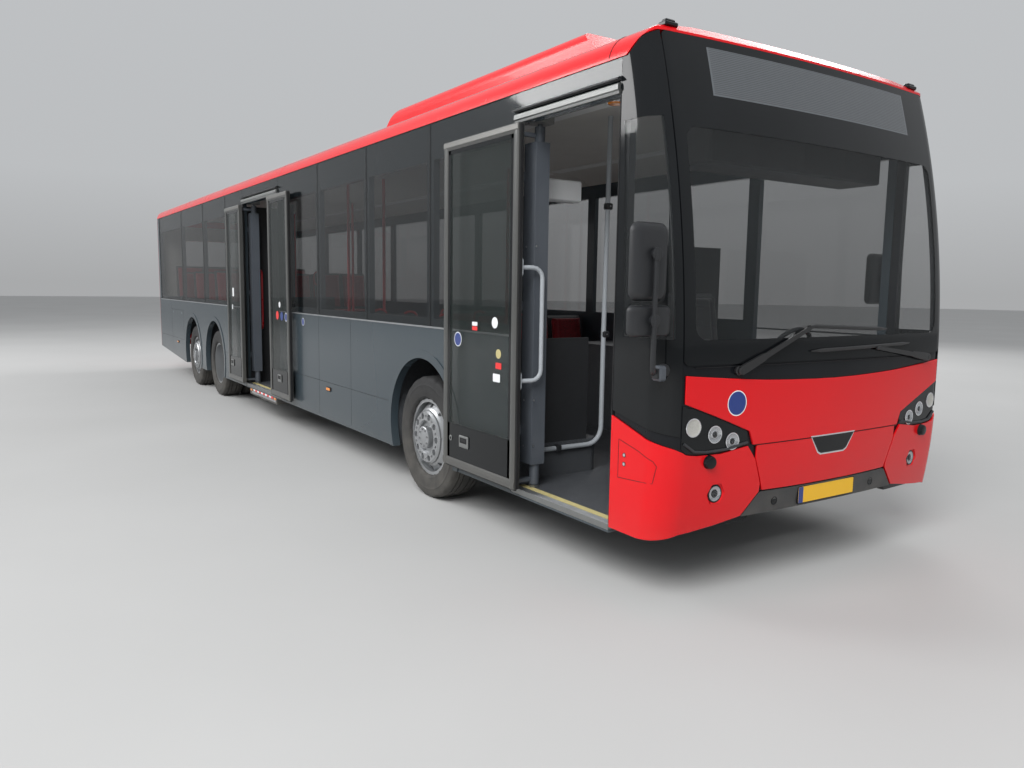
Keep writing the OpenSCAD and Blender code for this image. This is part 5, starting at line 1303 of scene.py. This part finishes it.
def make_rail_clamps():
    """Clamps where the entrance rail meets other bars, with their screws."""
    p = Piece("rail_clamps")
    lo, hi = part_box("entry_rail")
    x, y = (lo[0] + hi[0]) / 2, hi[1] - 0.018
    for z in (2.205, 1.330):
        p.box((x - 0.024, y - 0.026, z - 0.022), (x + 0.024, y + 0.026, z + 0.022), "cab_black", 0.007)
        p.cyl((x + 0.023, y, z), (x + 0.027, y, z), 0.006, "nut_steel", 16, 0.001)
    z = lo[2] + 0.017
    for y in (-0.840, -1.020):
        p.box((x - 0.024, y - 0.022, z - 0.024), (x + 0.024, y + 0.022, z + 0.024), "cab_black", 0.007)
    p.build()


def make_side_sign():
    """Blank round sign on the skirt ahead of the middle doorway."""
    p = Piece("side_sign")
    for y0, y1, r, look in ((-1.2748, -1.2757, 0.040, "sign_white"),
                            (-1.2750, -1.2761, 0.035, "sign_blue")):
        p.cyl((1.390, y0, 1.255), (1.390, y1, 1.255), r, look, 48)
    p.build()


make_side_trims()
make_skirt_joints()
make_side_lamps()
make_service_flap()
make_rear_pillars()
make_pod_ledges()
make_roof_fittings()
make_roof_unit_details()
make_rear_details()
make_rail_clamps()
make_side_sign()


# Doors
# Low floor, and upper end of the doorways' gaskets
FLOOR_TOP, DOOR_HEAD = 0.365, 2.636
# Leaves at rest: (name, rear edge, front edge, x and z of the lock box, side of the outer seal)
LEAVES = [
    ("front", 4.625, 5.553, (4.922, 0.582), 1),
    ("mid_rear", -1.437, -0.735, (-1.228, 0.604), -1),
    ("mid_front", 0.445, 1.147, (0.801, 0.600), 1),
]
# Foot and head of the leaves, width of their bars, and the glass's outer face
LEAF_Z0, LEAF_Z1, BAR, LEAF_FACE = 0.385, 2.622, 0.058, -1.347
# Small blank stickers on the leaves' glass: (leaf, x, z, half-width, half-height, look)
STICKERS = [
    ("front", 5.300, 1.420, 0.036, 0.036, "sign_white"),
    ("front", 5.050, 1.402, 0.034, 0.013, "sign_white"),
    ("front", 5.050, 1.372, 0.034, 0.013, "sign_red"), ("front", 4.825, 1.287, 0.050, 0.050, "sign_white"),
    ("front", 5.347, 1.224, 0.030, 0.030, "nosing_yellow"),
    ("front", 5.349, 1.147, 0.034, 0.020, "sign_red"),
    ("front", 5.327, 1.068, 0.042, 0.026, "sign_white"),
    ("mid_rear", -1.128, 1.533, 0.037, 0.055, "sign_white"),
    ("mid_rear", -1.180, 1.340, 0.020, 0.030, "sign_white"),
    ("mid_front", 0.745, 1.300, 0.048, 0.048, "sign_red"),
    ("mid_front", 0.900, 1.295, 0.048, 0.048, "sign_blue"),
    ("mid_front", 1.050, 1.290, 0.048, 0.048, "sign_white"),
    ("mid_front", 0.830, 1.420, 0.032, 0.032, "sign_white"),
]


def make_leaf_trims(name, x0, x1, lock, side):
    """Printed border, rubbers, caps, lock box, stickers and screws of one leaf."""
    p = Piece("leaf_trims_" + name, "door_leaf_" + name)
    a, b, c, d = x0 + BAR + 0.001, x1 - BAR - 0.001, LEAF_Z0 + BAR + 0.001, LEAF_Z1 - BAR - 0.001
    foot = 0.690
    for u0, v0, u1, v1 in ((a, c, a + 0.028, d), (b - 0.028, c, b, d), (a, d - 0.026, b, d),
                           (a, c, b, foot)):
        p.box((u0, LEAF_FACE - 0.0006, v0), (u1, LEAF_FACE + 0.0008, v1), "gloss_black")
    # Inner side of the glass: rubber round its edge
    for u0, v0, u1 in ((a, foot, a + 0.014), (b - 0.014, foot, b), (a, d - 0.014, b)):
        p.box((u0, -1.3385, v0), (u1, -1.3300, d), "rubber")
    # Light cap on the top rail and dark shoe on the bottom rail
    p.box((x0 + 0.002, -1.3585, LEAF_Z1 - 0.040), (x1 - 0.002, -1.3520, LEAF_Z1 - 0.006), "leaf_cap", 0.003)
    p.box((x0 + 0.010, -1.3410, 0.3735), (x1 - 0.010, -1.3230, 0.3870), "rubber", 0.002)
    # Lock box
    lx, lz = lock
    p.box((lx - 0.062, -1.3580, lz - 0.042), (lx + 0.062, LEAF_FACE, lz + 0.042), "door_aluminium", 0.005)
    p.box((lx - 0.046, -1.3588, lz - 0.010), (lx + 0.046, -1.3576, lz + 0.028), "joint_and_shade_black", 0.001)
    p.box((lx - 0.034, -1.3592, lz + 0.002), (lx + 0.034, -1.3582, lz + 0.020), "rubber", 0.001)
    if name == "front":
        p.cyl((4.732, LEAF_FACE, lz), (4.732, -1.3520, lz), 0.020, "door_aluminium", 24, 0.002)
        p.cyl((4.732, -1.3515, lz), (4.732, -1.3532, lz), 0.009, "joint_and_shade_black", 16)
    # Rubber on the outer edge
    x = x1 if side > 0 else x0
    lo, hi = sorted((x - side * 0.001, x + side * 0.009))
    p.box((lo, -1.3440, LEAF_Z0 + 0.004), (hi, -1.3190, LEAF_Z1 - 0.006), "rubber", 0.003)
    for leaf, *sticker in STICKERS:
        if leaf == name:
            add_sticker(p, *sticker)
    # Screws of the inner frame
    for z in (0.55, 1.10, 1.65, 2.20):
        for sx in (x0 + BAR / 2, x1 - BAR / 2):
            p.cyl((sx, -1.3122, z), (sx, -1.3105, z), 0.0055, "nut_steel", 12)
    p.build()


def add_sticker(p, x, z, half_w, half_h, look):
    """A blank sticker on the glass, round where it is as high as wide; the large round ones have a field."""
    is_round = half_w == half_h
    outline = rounded_rect(x - half_w, z - half_h, x + half_w, z + half_h, half_w if is_round else 0.006)
    p.prism(outline, lambda u, v, t: (u, LEAF_FACE - 0.0009 + t, v), 0.0012, look)
    if is_round and half_w > 0.04:
        r = half_w * 0.88
        field = rounded_rect(x - r, z - r, x + r, z + r, r)
        colour = "sign_blue" if look == "sign_white" else look
        p.prism(field, lambda u, v, t: (u, LEAF_FACE - 0.0014 + t, v), 0.0010, colour)


def make_doorways():
    """Sill strips, screws of the post covers and the gaskets of the doorways."""
    p = Piece("doorway_fittings")
    sill = FLOOR_TOP + 0.0001
    for a, b in ((5.404, 6.364), (-0.868, 0.578)):
        p.box((a, -1.2130, sill), (b, -1.1650, sill + 0.0021), "nosing_yellow", 0.0008)
        p.box((a, -1.2715, sill), (b, -1.2150, sill + 0.0013), "ramp_aluminium")
        for k in range(5):
            y = -1.266 + k * 0.011
            p.box((a, y, sill + 0.0011), (b, y + 0.004, sill + 0.0025), "ramp_aluminium")
        p.box((a - 0.004, -1.2746, 0.322), (b + 0.004, -1.2738, 0.331), "bumper_black")
    for x, z in ((5.421, 0.928), (5.533, 0.940), (5.421, 0.630), (5.533, 0.650), (5.421, 1.90),
                 (5.533, 1.90)):
        p.cyl((x, -1.1948, z), (x, -1.1975, z), 0.0075, "nut_steel", 14, 0.001)
    foot = FLOOR_TOP + 0.007
    p.box((6.3686, -1.2735, foot), (6.3758, -1.2480, DOOR_HEAD), "rubber", 0.002)
    for x0, x1 in ((-0.878, -0.870), (0.580, 0.588), (5.398, 5.406)):
        p.box((x0, -1.2700, foot), (x1, -1.2480, DOOR_HEAD), "rubber", 0.001)
    p.build()


def make_handle_screws():
    """Screws of the handle inside the front leaf."""
    p = Piece("handle_screws", "door_leaf_front")
    for z in (1.028, 1.108, 1.728, 1.808):
        p.cyl((5.531, -1.3040, z), (5.531, -1.3022, z), 0.0055, "nut_steel", 14, 0.0008)
    p.build()


for leaf in LEAVES:
    make_leaf_trims(*leaf)
make_doorways()
make_handle_screws()


# Soft seats
# Pairs of seats: (place along the bus, floor that the seat is measured from, floor under its legs)
PAIRS = [(3.000, 0.365, 0.365), (2.250, 0.365, 0.365), (1.500, 0.365, 0.365), (-2.760, 0.830, 1.135),
         (-4.180, 0.830, 1.135), (-5.080, 0.830, 0.830)]


def rounded_block(name, size, r):
    """A block on z = 0 with rounded edges, the shape a pad starts from."""
    mesh = bpy.data.meshes.new(name)
    bm = bmesh.new()
    bmesh.ops.create_cube(bm, size=1.0)
    for v in bm.verts:
        v.co = Vector((v.co.x * size[0], v.co.y * size[1], (v.co.z + 0.5) * size[2]))
    bmesh.ops.bevel(bm, geom=list(bm.edges), offset=r, segments=3, profile=0.5, affect="EDGES")
    bm.to_mesh(mesh)
    bm.free()
    return add_object(name, mesh)


# Sewn channels of the pads: depth along and across, and half width
CHANNEL_ALONG, CHANNEL_ACROSS, CHANNEL_W = 0.0065, 0.0055, 0.0085
CLOTH_FRAMES = 20


def swell(obj, pinned):
    """Blows a pad up as cloth under pressure, with its points below a height held fast."""
    pin = obj.vertex_groups.new(name="pin")
    pin.add([v.index for v in obj.data.vertices if v.co.z < pinned], 1.0, "REPLACE")
    cloth = obj.modifiers.new("cloth", "CLOTH")
    s = cloth.settings
    s.quality = 5
    s.mass = 0.3
    s.tension_stiffness = s.compression_stiffness = 12
    s.shear_stiffness = 5
    s.bending_stiffness = 0.4
    s.vertex_group_mass = "pin"
    s.use_pressure = True
    s.uniform_pressure_force = 4
    s.effector_weights.gravity = 0
    cloth.collision_settings.use_collision = False
    cloth.point_cache.frame_start = 1
    cloth.point_cache.frame_end = CLOTH_FRAMES
    for f in range(1, CLOTH_FRAMES + 1):
        bpy.context.scene.frame_set(f)
    mesh = take_mesh(obj)
    obj.vertex_groups.clear()
    return mesh


def pad_master(name, size, voxel, cap, channels, cross=()):
    """A pad swollen by cloth pressure on a flat back at z = 0, with sewn channels along and across."""
    obj = rounded_block(name, size, min(0.018, size[2] * 0.3))
    m = obj.modifiers.new("remesh", "REMESH")
    m.mode = "VOXEL"
    m.voxel_size = voxel
    mesh = take_mesh(obj)
    start = [v.co.copy() for v in mesh.vertices]
    mesh = swell(obj, voxel * 0.45)
    for v, old in zip(mesh.vertices, start):
        move = v.co - old
        if move.length > cap:
            move = move.normalized() * cap
        v.co = old + move
    sub = obj.modifiers.new("smooth", "SUBSURF")
    sub.levels = sub.render_levels = 1
    mesh = take_mesh(obj)
    for v in mesh.vertices:
        if v.co.z > size[2] * 0.5:
            for y in channels:
                v.co.z -= CHANNEL_ALONG * math.exp(-((abs(v.co.y) - y) / CHANNEL_W) ** 2)
            for x in cross:
                v.co.z -= CHANNEL_ACROSS * math.exp(-((v.co.x - x) / CHANNEL_W) ** 2)
        v.co.z = max(v.co.z, 0.0)
    mesh.shade_smooth()
    bpy.data.objects.remove(obj)
    bpy.context.scene.frame_set(1)
    return mesh


def place_pad(master, name, matrix, look, node):
    """A pad of its own at a place, in the stead of the CAD's plain one."""
    mesh = master.copy()
    mesh.name = name
    mesh.transform(matrix)
    mesh.materials.clear()
    mesh.materials.append(MAT[look])
    obj = add_object(name, mesh)
    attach(obj, "root")
    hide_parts(node)


def upright(x, y, z, lean, wide=1.0):
    """Local x goes up, local z goes forward, leaning back by an angle."""
    c, s = math.cos(lean), math.sin(lean)
    up, ahead = Vector((-s, 0, c)), Vector((c, 0, s))
    side = ahead.cross(up).normalized() * wide
    return Matrix((
        (up.x, side.x, ahead.x, x),
        (up.y, side.y, ahead.y, y),
        (up.z, side.z, ahead.z, z),
        (0, 0, 0, 1),
    ))


def pan_place(x, y, z, tilt, deep=1.0, wide=1.0):
    """Place of a cushion, tilted backwards by degrees."""
    turn = Matrix.Rotation(math.radians(-tilt), 4, "Y")
    return Matrix.Translation((x, y, z)) @ turn @ Matrix.Diagonal((deep, wide, 1.0, 1))


def seat_back(p, outline, y, half):
    """A seat's shell across from y - half to y + half."""
    p.prism(outline, lambda a, b, d: (a, y - half + d, b), 2 * half, "seat_shell")


# Middle of a pair of seats, middle of a seat beside it, and the lean of the backs
PAIR_Y, SEAT_Y, LEAN = 0.765, 0.2130, math.radians(8.4)


def add_pads(seat, rest, n, pan, back):
    place_pad(seat, f"seat_cushion_{n:02d}", pan, "seat_red", "seats")
    place_pad(rest, f"seat_rest_{n:02d}", back, "seat_red", "seats")


def add_shell(shells, piping, x, y, feet):
    """Plastic shell behind and under the pads of one seat, with its slats and front piping."""
    outline = [(-0.010, 0.420), (-0.062, 0.800), (-0.082, 0.985), (-0.070, 0.998), (-0.047, 0.975),
               (-0.010, 0.700), (0.026, 0.440)]
    seat_back(shells, [(x + a, feet + b) for a, b in outline], y, 0.206)
    shells.box((x + 0.022, y - 0.206, feet + 0.352), (x + 0.442, y + 0.206, feet + 0.366), "seat_shell",
               0.005)
    piping.tube([(x + 0.452, y + d, feet + 0.376) for d in (-0.196, 0.196)], 0.0042, "seat_dark", 8)
    for z in (0.60, 0.72, 0.84):
        back = x + (0.84 - z) * 0.13
        shells.box((back - 0.068, y - 0.150, feet + z), (back - 0.050, y + 0.150, feet + z + 0.012),
                   "cab_black", 0.003)


def add_pair_frame(shells, x, s, feet, floor):
    """Frame, legs and foot plates of a pair of seats, and the grip on its aisle corner."""
    y = s * PAIR_Y
    for x0 in (x + 0.100, x + 0.270):
        shells.box((x0, y - 0.400, feet + 0.312), (x0 + 0.050, y + 0.400, feet + 0.350), "rail_grey", 0.006)
    for fy in (y - 0.24, y + 0.24):
        for top, foot in ((0.125, 0.150), (0.295, 0.270)):
            shells.tube([(x + top, fy, feet + 0.320), (x + foot, fy, floor + 0.012)], 0.017, "rail_grey",
                        14)
        shells.box((x + 0.100, fy - 0.030, floor + 0.0004), (x + 0.320, fy + 0.030, floor + 0.012),
                   "rail_grey", 0.004)
    grip = [(-0.030, 0, 0.800), (-0.055, -0.020, 0.900), (-0.066, -0.010, 1.005), (-0.070, 0.060, 1.022),
            (-0.070, 0.120, 1.000)]
    g = PAIR_Y - 0.405
    shells.tube([(x + a, s * (g + b), feet + c) for a, b, c in grip], 0.0125, "rail_red", 12, 0.05)


def make_seats():
    """Six rows of two pairs, and the bench of five at the back."""
    seat = pad_master("pad_seat", (0.372, 0.395, 0.054), 0.026, 0.015, (0.117,))
    rest = pad_master("pad_rest", (0.530, 0.395, 0.034), 0.026, 0.013, (0.117,), (0.13,))
    shells, piping = Piece("seat_shells"), Piece("seat_piping")
    n = 0
    for x, feet, floor in PAIRS:
        for s in (-1, 1):
            for y in (s * PAIR_Y - SEAT_Y, s * PAIR_Y + SEAT_Y):
                n += 1
                pan = pan_place(x + 0.252, y, feet + 0.3665, 1.5)
                add_pads(seat, rest, n, pan, upright(x + 0.0035, y, feet + 0.716, LEAN))
                add_shell(shells, piping, x, y, feet)
            add_pair_frame(shells, x, s, feet, floor)
    bench = [(-5.690, 1.304), (-5.738, 1.928), (-5.690, 1.938), (-5.640, 1.60), (-5.610, 1.378),
             (-5.640, 1.304)]
    for k in range(5):
        y = (k - 2) * 0.472
        n += 1
        pan = pan_place(-5.397, y, 1.316, 2.2, 0.96, 1.13)
        add_pads(seat, rest, n, pan, upright(-5.640, y, 1.655, math.radians(8.2), 1.13))
        seat_back(shells, bench, y, 0.230)
    shells.box((-5.600, -1.175, 1.3004), (-5.205, 1.175, 1.315), "seat_shell", 0.005)
    shells.build(slot="seat_cloth", replaces=["seats"])
    piping.build(slot="seat_cloth", replaces=["seats"])


def make_driver_seat():
    """The driver's seat: pads, shell and a bellows base between two plates."""
    seat = pad_master("pad_driver", (0.400, 0.450, 0.060), 0.014, 0.017, (0.135,), (-0.055,))
    rest = pad_master("pad_driver_rest", (0.520, 0.440, 0.038), 0.014, 0.014, (0.135,), (0.02, 0.17))
    x, y, feet = 5.080, 0.690, 0.620
    pan = pan_place(x + 0.240, y, feet + 0.364, 1.5)
    place_pad(seat, "driver_cushion", pan, "seat_dark", "driver_seat")
    back = upright(x + 0.0015, y, feet + 0.714, LEAN)
    place_pad(rest, "driver_rest", back, "seat_dark", "driver_seat")
    p = Piece("driver_seat_frame")
    outline = [(-0.010, 0.420), (-0.062, 0.800), (-0.084, 0.985), (-0.070, 0.998), (-0.048, 0.975),
               (-0.012, 0.700), (0.020, 0.440)]
    seat_back(p, [(x + a, feet + b) for a, b in outline], y, 0.235)
    p.box((x + 0.022, y - 0.235, feet + 0.348), (x + 0.440, y + 0.235, feet + 0.363), "seat_shell", 0.005)
    for z0, z1 in ((0.0006, 0.045), (0.312, 0.350)):
        p.box((x + 0.095, y - 0.200, feet + z0), (x + 0.325, y + 0.200, feet + z1), "cab_black", 0.008)
    for k in range(7):
        z = feet + 0.050 + k * 0.038
        p.box((x + 0.110, y - 0.165, z), (x + 0.310, y + 0.165, z + 0.030), "rubber", 0.012)
    p.tube([(x + 0.395, y - 0.245, feet + 0.352), (x + 0.250, y - 0.247, feet + 0.345)], 0.009,
           "cab_black", 10)
    p.build(slot="seat_black", replaces=["driver_seat"])


# Linings
def make_linings():
    """Ceiling with its lamp rows, linings of the rear wall, and the cabinets of the cab."""
    p = Piece("ceiling_lining")
    half = [(0.2, 2.812), (0.600, 2.800), (0.960, 2.776), (1.130, 2.742), (1.205, 2.690)]
    low = [(-y, z) for y, z in reversed(half)] + half
    ring = low + [(y, z + 0.006) for y, z in reversed(low)]
    for a, b in ((-6.700, -4.305), (-4.295, -1.905), (-1.895, 0.695), (0.705, 3.005), (3.015, 6.330)):
        p.prism(ring, lambda u, v, d, a=a: (a + d, u, v), b - a, "lining")
    for s in (-1, 1):
        for a, b in ((-6.600, -4.350), (-4.250, -1.950), (-1.850, 0.650), (0.750, 2.950), (3.050, 5.950)):
            p.side_box(s, a, b, 0.705, 0.815, 2.780, 2.7975, "roof_white", 0.006)
    for z0, z1, y0, y1 in ((1.310, 1.556, -1.205, 1.205), (2.444, 2.700, -1.205, 1.205),
                           (1.556, 2.444, -1.205, -0.845), (1.556, 2.444, 0.845, 1.205)):
        p.box((-6.793, y0, z0), (-6.787, y1, z1), "lining")
    p.build()
    p = Piece("cab_cabinets")
    p.box((5.980, -0.520, 2.380), (6.300, 1.150, 2.700), "cab_black", 0.012)
    for y in (-0.100, 0.330, 0.750):
        p.box((6.2995, y - 0.0015, 2.395), (6.3008, y + 0.0015, 2.560), "joint_and_shade_black")
    p.box((5.980, -0.520, 2.690), (6.300, 1.150, 2.780), "lining", 0.004)
    # Lamp over the entrance and a box on the partition
    for z0, z1, r, look in ((2.790, 2.768, 0.060, "chrome"), (2.772, 2.760, 0.046, "lamp_amber")):
        p.cyl((5.750, -0.780, z0), (5.750, -0.780, z1), r, look, 32, 0.004)
    p.box((5.2300, -0.980, 2.212), (5.3300, -0.690, 2.352), "sign_white", 0.010)
    p.build()


def make_display():
    """Destination display at the top of the windscreen, blank, with its fine rows."""
    p = Piece("display")
    rows = [(u, 2.636, 2.889) for u in span(at_y(-0.880), at_y(0.880), 30)]
    front_panel(p, rows, 0.0044, 0.0052, "display", 4)
    for k in range(25):
        z = 2.646 + k * 0.0098
        rows = [(u, z, z + 0.0034) for u in span(at_y(-0.868), at_y(0.868), 20)]
        front_panel(p, rows, 0.0041, 0.0046, "display_row", 1)
    p.build()


make_seats()
make_driver_seat()
make_linings()
make_display()


# Stage, light and world
def make_stage():
    """A round floor under the tyres."""
    mesh = bpy.data.meshes.new("floor_plane")
    mesh.from_pydata([(a, b, -0.0031) for a, b in circle(64, 90.0)], [], [list(range(64))])
    mat, nodes, links, bsdf = new_material("stage_floor")
    bsdf.inputs["Roughness"].default_value = 0.9
    bsdf.inputs["Specular IOR Level"].default_value = 0.15
    colour = add_mix(nodes, links, add_noise(nodes, links, 0.35, 8), (0.42, 0.42, 0.415),
                     (0.49, 0.49, 0.485))
    links.new(colour, bsdf.inputs["Base Color"])
    mesh.materials.append(mat)
    add_object("floor_plane", mesh)


def make_lamp(name, place, target, size, power):
    """A round area lamp; the key lamp's own reflection doesn't show."""
    data = bpy.data.lights.new(name, "AREA")
    data.shape = "DISK"
    data.size = size
    data.energy = power
    obj = add_object(name, data)
    obj.location = place
    obj.rotation_euler = (Vector(target) - Vector(place)).to_track_quat("-Z", "Y").to_euler()
    obj.visible_glossy = name != "key"


def make_world():
    """An even sky, lighter overhead."""
    world = bpy.data.worlds.new("sky")
    bpy.context.scene.world = world
    world.use_nodes = True
    nodes, links = world.node_tree.nodes, world.node_tree.links
    back = nodes["Background"]
    coords = nodes.new("ShaderNodeTexCoord")
    split = nodes.new("ShaderNodeSeparateXYZ")
    ramp = nodes.new("ShaderNodeValToRGB")
    ramp.color_ramp.elements[0].position = 0.0
    ramp.color_ramp.elements[0].color = (0.60, 0.61, 0.62, 1)
    ramp.color_ramp.elements[1].position = 1.0
    ramp.color_ramp.elements[1].color = (0.88, 0.90, 0.93, 1)
    middle = ramp.color_ramp.elements.new(0.12)
    middle.color = (0.76, 0.78, 0.80, 1)
    links.new(coords.outputs["Generated"], split.inputs["Vector"])
    links.new(split.outputs["Z"], ramp.inputs["Fac"])
    links.new(ramp.outputs["Color"], back.inputs["Color"])
    back.inputs["Strength"].default_value = 0.66


make_stage()
make_world()
make_lamp("key", (13.0, -12.0, 13.0), (2.0, 0.0, 1.2), 11.0, 3400)
make_lamp("fill", (-10.0, -14.0, 11.0), (-3.0, 0.0, 1.5), 10.0, 1800)
make_lamp("back", (-6.0, 15.0, 12.0), (-1.0, 0.0, 1.5), 10.0, 1600)
bpy.context.scene.view_settings.view_transform = "Standard"
